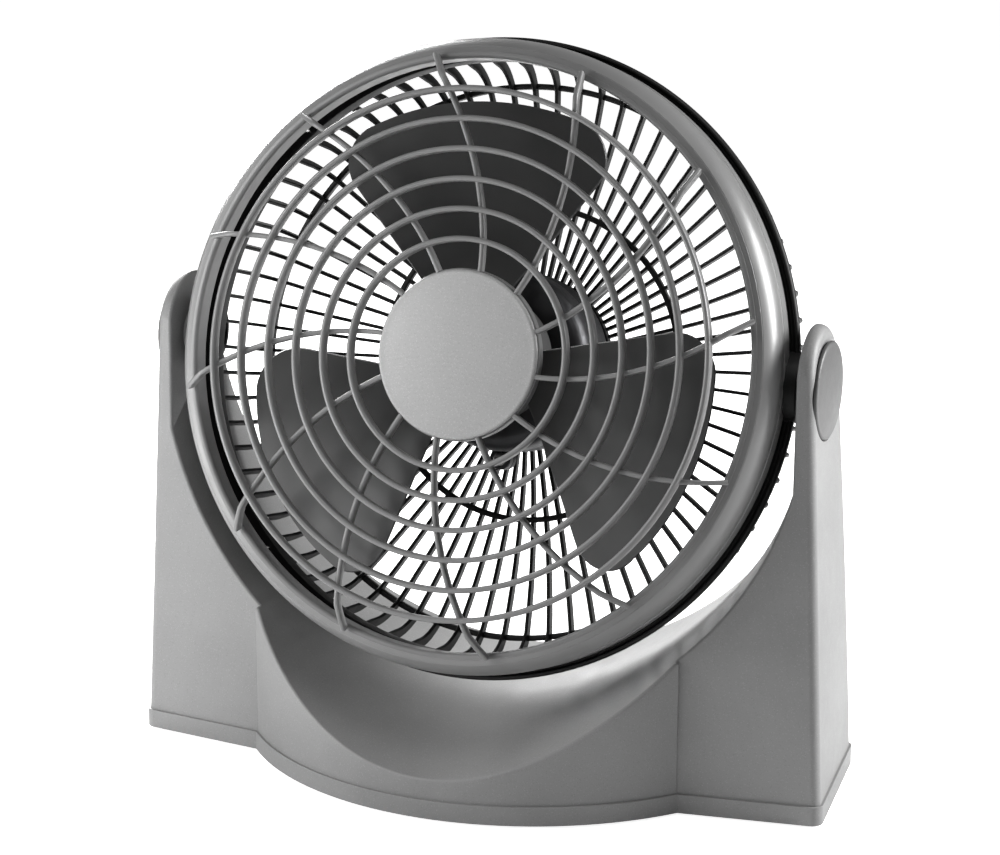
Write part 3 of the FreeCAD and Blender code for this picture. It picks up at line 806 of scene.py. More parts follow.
@dataclass(frozen=True)
class Plastic:
    """Moulded plastic or rubber.

    Attributes:
        name: the material's name.
        tone: its grey, as linear light.
        roughness: its usual roughness.
        cell: size of the moulded grain, in mm.
        height: depth of the grain, in mm.
        drift: how far the tone wanders, as a share of it.
        specks: share of the grain that is pearly, 0 for none.
        dust: how much dust lies on it.
        rubbed: how pale its edges have been rubbed.
        coat: weight of its glossy skin.
        shine: how strongly it reflects, 0.5 for common plastic.
    """

    name: str
    tone: float
    roughness: float
    cell: float = 0.45
    height: float = 0.02
    drift: float = 0.10
    specks: float = 0.0
    dust: float = 0.12
    rubbed: float = 0.25
    coat: float = 0.0
    shine: float = 0.5

    def material(self, effects: Effects) -> bpy.types.Material:
        """Makes the material of this finish.

        Args:
            effects: the shared surface effects.

        Returns:
            the material.
        """
        material, w, shader = started(self.name)
        grain = effects.grain.place(w, Cell=self.cell)
        colour = w.mix(grain.outputs["Tone"], grey(self.tone * (1 - self.drift)),
                       grey(self.tone * (1 + self.drift)))
        if self.specks:
            specks = effects.specks.place(w, Cell=0.55, Share=self.specks)
            light = w.math("MULTIPLY", specks.outputs["Light"], 0.55)
            dark = w.math("MULTIPLY", specks.outputs["Dark"], 0.45)
            colour = w.mix(light, colour, grey(min(1.0, self.tone * 1.5)))
            colour = w.mix(dark, colour, grey(self.tone * 0.62))
        edges = effects.edges.place(w, Amount=self.rubbed)
        colour = w.mix(edges.outputs["Mask"], colour, grey(min(1.0, self.tone * 1.6 + 0.05)))
        dust = effects.dust.place(w, Amount=self.dust)
        colour = w.mix(dust.outputs["Mask"], colour, grey(0.42, 0.03))
        gloss = w.spread(grain.outputs["Gloss"], self.roughness - 0.05, self.roughness + 0.07)
        rough = w.math("ADD", gloss, w.math("MULTIPLY", dust.outputs["Mask"], 0.5))
        bump = w.add("Bump", {"Height": grain.outputs["Height"], "Strength": 0.6,
                              "Distance": self.height * MM * 4})
        links = w.tree.links
        links.new(colour, shader.inputs["Base Color"])
        links.new(rough, shader.inputs["Roughness"])
        links.new(bump.outputs[0], shader.inputs["Normal"])
        shader.inputs["Coat Weight"].default_value = self.coat
        shader.inputs["Coat Roughness"].default_value = 0.22
        shader.inputs["Specular IOR Level"].default_value = self.shine
        return material


@dataclass(frozen=True)
class Metal:
    """Turned, drawn, stacked or wound metal.

    Attributes:
        name: the material's name.
        colour: its colour, as linear light.
        roughness: its usual roughness.
        pitch: distance between its ridges, in mm.
        ridge: height of the ridges, in mm.
        across: the direction the ridges are counted along.
        stain: how far its tone wanders.
    """

    name: str
    colour: tuple[float, float, float]
    roughness: float
    pitch: float = 0.3
    ridge: float = 0.01
    across: tuple[float, float, float] = (1.0, 0.0, 0.0)
    stain: float = 0.15

    def material(self, effects: Effects) -> bpy.types.Material:
        """Makes the material of this finish.

        Args:
            effects: the shared surface effects.

        Returns:
            the material.
        """
        material, w, shader = started(self.name)
        x, y, z = self.across
        bands = effects.bands.place(w, **{"Pitch": self.pitch, "Across X": x, "Across Y": y,
                                          "Across Z": z})
        grain = effects.grain.place(w, Cell=0.25, Drift=12.0)
        pale = tuple(min(1.0, c * (1 + self.stain)) for c in self.colour) + (1.0,)
        deep = tuple(c * (1 - self.stain) for c in self.colour) + (1.0,)
        colour = w.mix(grain.outputs["Tone"], deep, pale)
        colour = w.mix(w.spread(bands.outputs["Height"], 0.0, 0.35), colour, deep)
        rough = w.spread(grain.outputs["Gloss"], self.roughness * 0.8, self.roughness * 1.25)
        height = w.math("ADD", bands.outputs["Height"],
                        w.math("MULTIPLY", grain.outputs["Height"], 0.3))
        bump = w.add("Bump", {"Height": height, "Strength": 0.5, "Distance": self.ridge * MM * 2})
        links = w.tree.links
        links.new(colour, shader.inputs["Base Color"])
        links.new(rough, shader.inputs["Roughness"])
        links.new(bump.outputs[0], shader.inputs["Normal"])
        shader.inputs["Metallic"].default_value = 1.0
        return material


class Slot(Enum):
    """The record's material slots, and two finishes that are only drawn: print, and the cap's grey darkened
    as painted shade for the knob.
    """

    STAND = "stand_grey"
    GRILLE = "grille_grey"
    CAP = "cap_grey"
    GUARD = "guard_black"
    BLADE = "blade_charcoal"
    SWITCH = "switch_black"
    BUSH = "bush_nylon"
    FOOT = "foot_rubber"
    GLAND = "gland_rubber"
    ZINC = "zinc"
    DARK_STEEL = "dark_steel"
    SHAFT = "shaft_steel"
    MOTOR = "motor_steel"
    LAMINATION = "lamination_steel"
    WINDING = "winding_copper"
    BRASS = "brass"
    BRONZE = "bronze"
    KNOB = "knob_grey"
    PRINT = "print_white"


AXIS = tuple(Vector(joint("blade_spin")["axis"]).normalized())
FINISHES: dict[Slot, Plastic | Metal] = {
    Slot.STAND: Plastic("stand_grey", 0.235, 0.5, cell=0.6, height=0.022, specks=0.16, dust=0.1),
    Slot.GRILLE: Plastic("grille_grey", 0.2, 0.34, cell=0.35, height=0.008, drift=0.07,
                         dust=0.05, rubbed=0.4, coat=0.15),
    Slot.CAP: Plastic("cap_grey", 0.39, 0.42, cell=0.4, height=0.012, drift=0.05, specks=0.3,
                      dust=0.03, rubbed=0.5, coat=0.1),
    Slot.GUARD: Plastic("guard_black", 0.007, 0.46, cell=0.5, height=0.012, dust=0.03, shine=0.3),
    Slot.BLADE: Plastic("blade_charcoal", 0.052, 0.44, cell=0.5, height=0.004, drift=0.04,
                        dust=0.04, coat=0.05, shine=0.4),
    Slot.SWITCH: Plastic("switch_black", 0.018, 0.4, cell=0.4, height=0.01),
    Slot.BUSH: Plastic("bush_nylon", 0.5, 0.45, cell=0.4, height=0.01),
    Slot.FOOT: Plastic("foot_rubber", 0.03, 0.8, cell=0.7, height=0.04, dust=0.2),
    Slot.GLAND: Plastic("gland_rubber", 0.02, 0.7, cell=0.5, height=0.03, dust=0.15),
    Slot.ZINC: Metal("zinc", (0.78, 0.78, 0.77), 0.2, pitch=0.4, ridge=0.008),
    Slot.DARK_STEEL: Metal("dark_steel", (0.1, 0.1, 0.1), 0.4, pitch=0.5),
    Slot.SHAFT: Metal("shaft_steel", (0.55, 0.55, 0.55), 0.2, pitch=0.35, across=AXIS),
    Slot.MOTOR: Metal("motor_steel", (0.075, 0.075, 0.078), 0.45, pitch=1.1, ridge=0.01,
                      across=AXIS),
    Slot.LAMINATION: Metal("lamination_steel", (0.3, 0.3, 0.31), 0.4, pitch=0.5, ridge=0.05,
                           across=AXIS),
    Slot.WINDING: Metal("winding_copper", (0.62, 0.25, 0.12), 0.3, pitch=0.6, ridge=0.12,
                        across=AXIS),
    Slot.BRASS: Metal("brass", (0.72, 0.52, 0.22), 0.28, pitch=0.5),
    Slot.BRONZE: Metal("bronze", (0.5, 0.3, 0.16), 0.4, pitch=0.6, across=AXIS),
    # The knob's plastic is the cap's grey; this copy is darkened as painted shade.
    Slot.KNOB: Plastic("knob_grey", 0.075, 0.45, cell=0.4, height=0.014, drift=0.06, specks=0.32,
                       dust=0.03, rubbed=0.6, coat=0.1),
    Slot.PRINT: Plastic("print_white", 0.7, 0.5, cell=0.3, height=0.004, dust=0.05),
}


@dataclass
class Palette:
    """The finishes as materials, and the handing over of finished pieces."""

    effects: Effects = field(default_factory=Effects)
    made: dict[Slot, bpy.types.Material] = field(default_factory=dict)

    def __getitem__(self, slot: Slot) -> bpy.types.Material:
        """Gives the material of a slot, built the first time it is asked for.

        Args:
            slot: the finish.

        Returns:
            its material.
        """
        if slot not in self.made:
            self.made[slot] = FINISHES[slot].material(self.effects)
        return self.made[slot]

    def dress(self, obj: bpy.types.Object, slot: Slot) -> None:
        """Gives a whole object one finish.

        Args:
            obj: the piece.
            slot: its finish.
        """
        if len(obj.data.materials):
            for index in range(len(obj.data.materials)):
                obj.data.materials[index] = self[slot]
        else:
            obj.data.materials.append(self[slot])

    def settle(self, piece: bpy.types.Object, body: str, slot: Slot, *nodes: str,
               recorded: Slot | None = None) -> bpy.types.Object:
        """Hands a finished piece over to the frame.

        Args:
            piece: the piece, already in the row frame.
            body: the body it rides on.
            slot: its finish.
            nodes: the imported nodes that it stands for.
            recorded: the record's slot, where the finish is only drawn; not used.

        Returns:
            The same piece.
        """
        self.dress(piece, slot)
        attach(piece, body)
        if nodes:
            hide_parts(*nodes)
        LOG.info("%s: %d faces, rides on %s", piece.name, len(piece.data.polygons), body)
        return piece


# ---- front grille ------------------------------------------------------------------------------
@dataclass
class FrontGrille:
    """Bezel, rings, curved spokes and hub, which come out of one mould.

    Attributes:
        palette: the finishes.
        place: from the head's axes to the row frame.
    """

    palette: Palette
    place: Matrix
    ring_first: float = 49.9
    ring_step: float = 12.88
    ring_count: int = 6
    ring_width: float = 2.4
    ring_depth: float = 5.4
    crest_first: float = 42.6
    crest_step: float = 0.82
    spoke_count: int = 12
    spoke_width: float = 2.2
    spoke_depth: float = 4.2
    spoke_setback: float = 3.2
    spoke_start: float = 350.0
    spoke_sweep: float = 20.6
    spoke_inner: float = 36.9
    spoke_bend: float = 121.0
    spoke_outer: float = 131.2
    spoke_end: float = 34.4
    cap_radius: float = 36.8
    bore: float = 129.0

    def bezel(self) -> bpy.types.Object:
        """Makes the rolled ring: a bright lip, a flat with a step, a round and a skirt.

        Returns:
            the object.
        """
        outer = [(129.0, 23.5), (129.0, 30.9), *arc((129.0, 30.9), (129.35, 32.2), (130.5, 32.7), 5),
                 (131.7, 32.55), (131.85, 32.2), (132.0, 32.15), (134.0, 31.75), (134.15, 31.5),
                 (134.4, 31.5), *arc((134.4, 31.5), (137.5, 27.2), (138.75, 17.0), 18),
                 (138.8, 15.2), (139.0, 15.0), (139.0, 8.4), (138.6, 8.0)]
        inner = [(137.3, 8.0), (137.0, 8.4), (136.8, 18.0),
                 *arc((136.8, 18.0), (135.6, 25.5), (132.8, 29.6), 8), (131.3, 29.8), (131.0, 23.5)]
        return turned("bezel", outer + inner, self.place, 288)

    def rings(self) -> bpy.types.Object:
        """Makes the six rings, each swept from a bar with rounded edges.

        Returns:
            the object.
        """
        tree = Tree("grille_rings")
        first, step = tree.size("First radius", self.ring_first), tree.size("Radius step", self.ring_step)
        count = tree.size("Rings", self.ring_count)
        width, depth = tree.size("Bar width", self.ring_width), tree.size("Bar depth", self.ring_depth)
        crest, rise = tree.size("First crest", self.crest_first), tree.size("Crest step", self.crest_step)
        index = tree.add("InputIndex").outputs[0]
        centres = tree.add("MeshLine", {"Count": count, "Offset": (0.0, 0.0, 0.0)})
        height = tree.math("SUBTRACT", tree.math("ADD", crest, tree.math("MULTIPLY", index, rise)),
                           tree.math("DIVIDE", depth, 2.0))
        lifted = tree.add("SetPosition", {0: centres.outputs[0], "Position": tree.vector(z=height)})
        radius = tree.math("ADD", first, tree.math("MULTIPLY", index, step))
        circle = tree.add("CurvePrimitiveCircle", {"Resolution": 224, "Radius": 1.0})
        rings = tree.add("InstanceOnPoints", {"Points": lifted.outputs[0], "Instance": circle.outputs[0],
                                              "Scale": tree.vector(radius, radius, 1.0)})
        loose = tree.add("RealizeInstances", {0: rings.outputs[0]})
        bars = tree.add("CurveToMesh", {"Curve": loose.outputs[0],
                                        "Profile Curve": bar_section(tree, width, depth, 1.0)})
        return tree.build(bars.outputs[0], self.palette[Slot.GRILLE], self.place)

    def spokes(self) -> bpy.types.Object:
        """Makes the twelve spokes, which swing round on their way out and dip to the bezel.

        Returns:
            the object.
        """
        tree = Tree("grille_spokes")
        inner = tree.size("Inner radius", self.spoke_inner)
        outer = tree.size("Outer radius", self.spoke_outer)
        bend, end = tree.size("Bend radius", self.spoke_bend), tree.size("End height", self.spoke_end)
        width, depth = tree.size("Bar width", self.spoke_width), tree.size("Bar depth", self.spoke_depth)
        count = tree.size("Spokes", self.spoke_count)
        share = tree.add("SplineParameter").outputs["Factor"]
        line = tree.add("CurvePrimitiveLine", {"Start": (0.0, 0.0, 0.0), "End": (1.0, 0.0, 0.0)})
        fine = tree.add("ResampleCurve", {"Curve": line.outputs[0], "Count": 48}, mode="COUNT")
        radius = tree.math("ADD", inner, tree.math("MULTIPLY", share, tree.math("SUBTRACT", outer, inner)))
        turn_share = tree.math("DIVIDE", tree.math("SUBTRACT", radius, self.cap_radius),
                               self.bore - self.cap_radius)
        angle = tree.math("ADD", tree.math("MULTIPLY", turn_share, math.radians(self.spoke_sweep)),
                          math.radians(self.spoke_start))
        slope = self.crest_step / self.ring_step
        held = tree.math("MAXIMUM", radius, self.ring_first)
        base = self.crest_first - self.spoke_setback - self.spoke_depth / 2 - slope * self.ring_first
        level = tree.math("ADD", tree.math("MULTIPLY", held, slope), base)
        past = tree.math("DIVIDE", tree.math("SUBTRACT", radius, bend), tree.math("SUBTRACT", outer, bend))
        dip = tree.add("Clamp", {0: past}).outputs[0]
        ease = tree.math("MULTIPLY", dip, tree.math("SUBTRACT", end, level))
        height = tree.math("ADD", level, ease)
        spot = tree.vector(tree.math("MULTIPLY", radius, tree.math("COSINE", angle)),
                           tree.math("MULTIPLY", radius, tree.math("SINE", angle)), height)
        bent = tree.add("SetPosition", {0: fine.outputs[0], "Position": spot})
        upright = tree.add("SetCurveNormal", {0: bent.outputs[0]}, mode="Z_UP")
        bar = tree.add("CurveToMesh", {"Curve": upright.outputs[0], "Fill Caps": True,
                                       "Profile Curve": bar_section(tree, width, depth, 0.8)})
        return tree.build(spun(tree, bar.outputs[0], count, 0.0), self.palette[Slot.GRILLE], self.place)

    def hub(self) -> bpy.types.Object:
        """Makes the disc behind the cap, with its collar.

        Returns:
            the object.
        """
        profile = [(0.0, 33.6), (37.0, 33.6), (37.4, 34.0), (37.4, 37.9), (37.1, 38.2), (36.2, 38.2),
                   (36.2, 36.4), (0.0, 36.4)]
        return turned("grille_hub", profile, self.place, 128)

    def build(self) -> None:
        """Builds the moulding."""
        moulding = joined("grille_moulding", [self.bezel(), self.rings(), self.spokes(), self.hub()])
        self.palette.settle(moulding, "head", Slot.GRILLE, "front_grille")


@dataclass
class CentreCap:
    """Blank domed cap with a rolled rim, pressed into the grille's hub.

    Attributes:
        palette: the finishes.
        place: from the head's axes to the row frame.
    """

    palette: Palette
    place: Matrix
    radius: float = 36.8
    rim: float = 40.15
    crown: float = 41.6

    def build(self) -> None:
        """Builds the cap and its three pegs."""
        edge = self.radius - 1.7
        dome = arc((edge, self.rim), (edge * 0.72, self.rim + (self.crown - self.rim) * 0.48),
                   (0.0, self.crown), 18)
        roll = arc((self.radius, 39.1), (self.radius - 0.45, 39.8), (edge, self.rim), 6)
        profile = [(0.0, 36.45), (36.0, 36.45), (36.0, 38.35), (36.55, 38.4), (self.radius, 38.7),
                   (self.radius, 39.1), *roll, *dome]
        bm = bmesh.new()
        add_lathe(bm, profile, 160)
        for k in range(3):
            angle = math.radians(30 + 120 * k)
            add_lathe(bm, [(0.0, 32.8), (1.6, 32.8), (1.9, 33.3), (1.9, 36.6), (0.0, 36.6)], 20,
                      (24.0 * math.cos(angle), 24.0 * math.sin(angle)))
        cap = finish_mesh("cap_shell", bm, self.place, Shading.MOULDED)
        self.palette.settle(cap, "head", Slot.CAP, "centre_cap")


# ---- rear guard --------------------------------------------------------------------------------
@dataclass
class RearGuard:
    """Basket of ribs behind the propeller, with its rim, hub plate and pivot cups.

    Attributes:
        palette: the finishes.
        place: from the head's axes to the row frame.
    """

    palette: Palette
    place: Matrix
    rib_count: int = 72
    rib_first: float = 2.5
    rib_width: float = 1.6

    def rib(self) -> bpy.types.Mesh:
        """Makes one rib: down the side, round the corner and in to the hub plate.

        Returns:
            the mesh, in its own axes.
        """
        outside = [(141.0, 1.5), (137.6, -19.0), *arc((137.6, -19.0), (134.2, -31.0), (125.0, -39.5), 7),
                   *arc((125.0, -39.5), (84.0, -50.6), (37.0, -52.0), 8)]
        inside = [(37.0, -48.6), *arc((37.0, -48.6), (82.0, -46.6), (122.8, -35.6), 8),
                  *arc((122.8, -35.6), (129.6, -28.6), (132.8, -18.0), 6), (136.0, 1.5)]
        bm = bmesh.new()
        add_prism(bm, outside + inside, -self.rib_width / 2, self.rib_width / 2, 0.35)
        bm.transform(Matrix.Rotation(math.radians(90), 4, "X"))
        mesh = baked("rib", bm)
        return mesh

    def ribs(self) -> bpy.types.Object:
        """Returns all the ribs."""
        return ring_of("guard_ribs", "Ribs", self.rib_count, self.rib_first, self.rib(),
                       self.palette[Slot.GUARD], self.place)

    def rounds(self) -> bpy.types.Object:
        """Makes the rim, the two rings and the hub plate.

        Returns:
            the object.
        """
        bm = bmesh.new()
        rim = [(131.6, 0.0), (141.4, 0.0), (142.2, 0.8), (142.2, 3.7), (141.4, 4.5), (140.4, 4.5),
               (140.0, 2.4), (138.4, 2.4), (138.4, 8.0), (131.6, 8.0)]
        add_lathe(bm, rounded(rim, 0.35, 3), 288)
        for radius, back, depth in ((72.0, -50.6, 3.0), (125.6, -39.4, 3.4)):
            bar = [(radius - 1.3, back), (radius + 1.3, back), (radius + 1.3, back + depth),
                   (radius - 1.3, back + depth)]
            add_lathe(bm, rounded(bar, 0.6, 3), 192)
        plate = [(10.0, -52.0), (40.0, -52.0), (40.0, -48.0), (10.0, -48.0)]
        add_lathe(bm, rounded(plate, 0.6, 3), 96)
        return finish_mesh("guard_rounds", bm, self.place, Shading.MOULDED)

    def cup(self, side: Side) -> bpy.types.Object:
        """Returns the cup that takes one tilt bolt, outward from the inside of the side wall."""
        profile = [(3.1, 141.0), (3.1, 144.2), (15.2, 144.2), (15.2, 137.2), (13.0, 137.2), (13.0, 141.0)]
        return turned("pivot_cup_" + side.name.lower(), rounded(profile, 0.5, 3), clamp_matrix(side), 72)

    def build(self) -> None:
        """Builds the moulding."""
        parts = [self.ribs(), self.rounds(), *(self.cup(side) for side in Side)]
        self.palette.settle(joined("guard_moulding", parts), "head", Slot.GUARD, "rear_guard")


# ---- propeller ---------------------------------------------------------------------------------
@dataclass
class Propeller:
    """Three broad blades on a cup-shaped hub, and the nut that holds it.

    Attributes:
        palette: the finishes.
        place: from the head's axes to the row frame.
    """

    palette: Palette
    place: Matrix
    radius: float = 112.0
    root: float = 25.0
    shoulder: float = 90.0
    first: float = 59.0
    span: float = 74.0
    count: int = 3
    thickness: float = 1.9

    def edge(self, share: float, leading: bool) -> tuple[float, float]:
        """Works out a blade's leading or trailing edge.

        Args:
            share: 0 at the hub to 1 at the tip.
            leading: which of the two edges.

        Returns:
            the radius in mm and the angle in degrees.
        """
        if leading:
            stops = [(self.root, 14 + 9.2), (self.shoulder, 3.0), (self.radius - 5, 6.4),
                     (self.radius, 15.6)]
        else:
            stops = [(self.root, self.span - 4.9), (self.shoulder, self.span - 2.0),
                     (self.radius - 5, self.span - 5.4), (self.radius, self.span - 14.6)]
        flat = [Vector((r * math.cos(math.radians(a)), r * math.sin(math.radians(a))))
                for r, a in stops]
        if share < 0.7:
            place = flat[0].lerp(flat[1], share / 0.7)
        else:
            corner = [tuple(flat[1])] + arc(tuple(flat[1]), tuple(flat[2]), tuple(flat[3]), 30)
            place = Vector(corner[round((share - 0.7) / 0.3 * 30)])
        return place.length, math.degrees(math.atan2(place.y, place.x))

    def point(self, radius: float, turn: float, lift: float) -> Vector:
        """Works out a point of a blade's surface.

        Args:
            radius: distance from the axis.
            turn: angle past the blade's start, in degrees.
            lift: how far forward of the blade's middle it is.

        Returns:
            the point, in the head's axes.
        """
        lead = 10.0 * (self.radius - radius) / self.radius
        share = (turn - lead) / self.span
        forward = -1.0 + 29.0 * share + 4.5 * math.sin(math.pi * share) * (radius / self.radius) + lift
        angle = math.radians(self.first + turn)
        return Vector((radius * math.cos(angle), radius * math.sin(angle), forward))

    def blade(self) -> bpy.types.Mesh:
        """Makes one blade as a closed sheet with rounded edges.

        Returns:
            the mesh, in its own axes.
        """
        rows, columns = 41, 26
        layers = []
        for lift, draw in ((self.thickness / 2, 0.5), (0.0, 0.0), (-self.thickness / 2, 0.5)):
            grid = []
            for i in range(rows):
                share = i / (rows - 1)
                (r0, a0), (r1, a1) = self.edge(share, True), self.edge(share, False)
                line = []
                for j in range(columns):
                    t = j / (columns - 1)
                    inset = math.degrees(draw / r0) * (1 - 2 * t)
                    radius = r0 + (r1 - r0) * t - draw * share ** 8
                    line.append(self.point(radius, a0 + (a1 - a0) * t + inset, lift))
                grid.append(line)
            layers.append(grid)
        bm = bmesh.new()
        made = [[[bm.verts.new(p) for p in line] for line in grid] for grid in (layers[0], layers[2])]
        for grid in made:
            for i in range(rows - 1):
                for j in range(columns - 1):
                    bm.faces.new([grid[i][j], grid[i][j + 1], grid[i + 1][j + 1], grid[i + 1][j]])
        border = [(i, 0) for i in range(rows)] + [(rows - 1, j) for j in range(1, columns)]
        border += [(i, columns - 1) for i in range(rows - 2, -1, -1)]
        border += [(0, j) for j in range(columns - 2, 0, -1)]
        waist = [bm.verts.new(layers[1][i][j]) for i, j in border]
        for n, (i, j) in enumerate(border):
            m = (n + 1) % len(border)
            (p, q) = border[m]
            bm.faces.new([made[0][i][j], made[0][p][q], waist[m], waist[n]])
            bm.faces.new([waist[n], waist[m], made[1][p][q], made[1][i][j]])
        mesh = baked("blade", bm)
        return mesh

    def hub(self) -> bpy.types.Object:
        """Makes the hub's cup with its sleeve.

        Returns:
            the object.
        """
        profile = [(4.0, -4.0), (8.6, -4.0), (8.6, 24.0), (25.5, 22.0), (25.5, -3.0), (28.0, -3.0),
                   (28.0, 23.0), *arc((28.0, 23.0), (26.6, 26.8), (22.0, 28.0), 8), (4.0, 28.0)]
        return turned("propeller_hub", profile, self.place, 96)

    def build(self) -> None:
        """Builds the propeller and its nut."""
        blades = ring_of("propeller_blades", "Blades", self.count, 0.0, self.blade(),
                         self.palette[Slot.BLADE], self.place)
        self.palette.settle(joined("propeller", [blades, self.hub()]), "rotor", Slot.BLADE, "fan_blade")
        profile = [(0.0, 28.0), (8.6, 28.0), (9.0, 28.4), (9.0, 29.4),
                   *arc((9.0, 29.4), (5.0, 31.5), (0.0, 32.2), 8)]
        nut = turned("propeller_nut", profile, self.place, 48)
        self.palette.settle(nut, "rotor", Slot.BLADE, "blade_nut")


# ---- motor -------------------------------------------------------------------------------------
@dataclass
class Motor:
    """Motor behind the propeller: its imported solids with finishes, and the screws that hold it.

    Attributes:
        palette: the finishes.
        place: from the head's axes to the row frame.
    """

    palette: Palette
    place: Matrix
    can_radius: float = 41.0
    sheet: float = 1.8
    ear_reach: float = 3.4
    front: float = -8.0
    split: float = -28.0
    back: float = -48.0

    def can(self, name: str, face: float, split: float) -> bpy.types.Object:
        """Makes half of the case with a rolled shoulder and a raised bearing seat.

        Args:
            name: the piece's name.
            face: where its closed end is, forward of the tilt axis.
            split: where its open end is.

        Returns:
            the object.
        """
        way = math.copysign(1.0, face - split)
        radius, inner = self.can_radius, self.can_radius - self.sheet
        outside = [(8.0, face), (13.0, face), (15.0, face - way * 0.8), (33.0, face - way * 0.8),
                   *arc((33.0, face - way * 0.8), (38.6, face - way * 2.6), (radius, face - way * 8.0), 8),
                   (radius, split + way * 1.2), (radius - 0.3, split)]
        inside = [(inner, split), (inner, face - way * 8.0), (32.0, face - way * 2.6),
                  (11.0, face - way * 2.6), (11.0, face - way * 8.0), (8.0, face - way * 8.0)]
        bm = bmesh.new()
        add_lathe(bm, outside + inside, 96)
        for k in range(4):
            angle = math.pi / 2 * k
            reach = radius + self.ear_reach
            centre = (reach * math.cos(angle), reach * math.sin(angle))
            low, high = sorted((split, split + way * 4))
            add_lathe(bm, rounded([(1.9, low), (5.0, low), (5.0, high), (1.9, high)], 0.5, 3), 32, centre)
        return finish_mesh(name, bm, self.place, Shading.MOULDED)

    def bolts(self) -> bpy.types.Object:
        """Makes the four bolts through the ears of the case, with their nuts.

        Returns:
            the object.
        """
        reach = self.can_radius + self.ear_reach
        bm = bmesh.new()
        shank = [(0.0, -34.4), (1.5, -34.4), (1.8, -34.0), (1.8, -24.0), (0.0, -24.0)]
        add_lathe(bm, shank, 20, (reach, 0.0))
        head = [(0.0, -24.0), (3.2, -24.0), (3.2, -23.2), *arc((3.2, -23.2), (2.2, -22.1), (0.0, -21.8), 5)]
        add_lathe(bm, head, 28, (reach, 0.0))
        add_prism(bm, hexagon(3.2, reach), -34.3, -32.0, 0.3)
        mesh = baked("case_bolt", bm)
        return ring_of("case_bolts", "Bolts", 4, 0.0, mesh, self.palette[Slot.ZINC], self.place)

    def mount_screws(self) -> bpy.types.Object:
        """Returns the four screws from the hub plate into the motor."""
        mesh = screw_mesh("mount_screw", (30.0, 0.0), -52.0, 3.4, 2.0, 1.55, 6.4)
        return ring_of("mount_screws", "Screws", 4, 45.0, mesh, self.palette[Slot.ZINC], self.place)

    def build(self) -> None:
        """Builds the case and screws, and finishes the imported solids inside."""
        front = self.can("motor_front_half", self.front, self.split)
        self.palette.settle(front, "head", Slot.MOTOR, "motor_front_can")
        rear = self.can("motor_rear_half", self.back, self.split)
        self.palette.settle(rear, "head", Slot.MOTOR, "motor_rear_can")
        self.palette.settle(self.bolts(), "head", Slot.ZINC, "motor_bolts")
        self.palette.settle(self.mount_screws(), "head", Slot.ZINC, "motor_mount_screws")
        for node, slot in (("stator_core", Slot.LAMINATION), ("stator_coils", Slot.WINDING),
                           ("rotor_core", Slot.LAMINATION), ("motor_shaft", Slot.SHAFT),
                           ("front_bearing", Slot.BRONZE), ("rear_bearing", Slot.BRONZE)):
            self.palette.dress(frame["nodes"][node], slot)


def screw_mesh(name: str, centre: tuple[float, float], seat: float, head: float, tall: float,
               shank: float, length: float) -> bpy.types.Mesh:
    """Makes a pan-head screw with a cross recess, its head on the low side of its seat.

    Args:
        name: the mesh's name.
        centre: where it stands in X and Y.
        seat: height of the face under its head.
        head: radius of the head.
        tall: height of the head.
        shank: radius of the shank.
        length: length of the shank.

    Returns:
        the mesh, in its own axes.
    """
    low = seat - tall
    bm = bmesh.new()
    profile = [(0.0, low), (head * 0.55, low), *arc((head * 0.55, low), (head * 0.9, low + tall * 0.3),
                                                     (head, low + tall * 0.75), 5),
               (head, seat), (shank, seat), (shank, seat + length - 0.5), (shank * 0.6, seat + length),
               (0.0, seat + length)]
    add_lathe(bm, profile, 32)
    set_in_place(bm, Matrix.Identity(4))
    solid = baked(name, bm)
    reach, half = head * 0.58, head * 0.11
    cross = [(half, -reach), (half, -half), (reach, -half), (reach, half), (half, half), (half, reach),
             (-half, reach), (-half, half), (-reach, half), (-reach, -half), (-half, -half), (-half, -reach)]
    bm = bmesh.new()
    add_prism(bm, cross, low - 1.0, low + tall * 0.55, 0.08)
    bmesh.ops.recalc_face_normals(bm, faces=bm.faces)
    cutter_mesh = baked(name + "_recess", bm)
    blank, cutter = link(name, solid), link(name + "_recess", cutter_mesh)
    carve = blank.modifiers.new("recess", "BOOLEAN")
    carve.operation, carve.object = "DIFFERENCE", cutter
    graph = bpy.context.evaluated_depsgraph_get()
    mesh = bpy.data.meshes.new_from_object(blank.evaluated_get(graph))
    bpy.data.objects.remove(blank)
    bpy.data.objects.remove(cutter)
    mesh.transform(Matrix.Translation((centre[0], centre[1], 0.0)))
    return mesh


@dataclass
class GrilleScrews:
    """Four screws through the rim into the bezel.

    Attributes:
        palette: the finishes.
        place: from the head's axes to the row frame.
    """

    palette: Palette
    place: Matrix

    def build(self) -> None:
        """Builds the screws."""
        mesh = screw_mesh("bezel_screw", (134.2, 0.0), 0.0, 2.3, 1.8, 1.25, 17.0)
        screws = ring_of("bezel_screws", "Screws", 4, 45.0, mesh, self.palette[Slot.ZINC],
                         self.place)
        self.palette.settle(screws, "head", Slot.ZINC, "grille_screws")


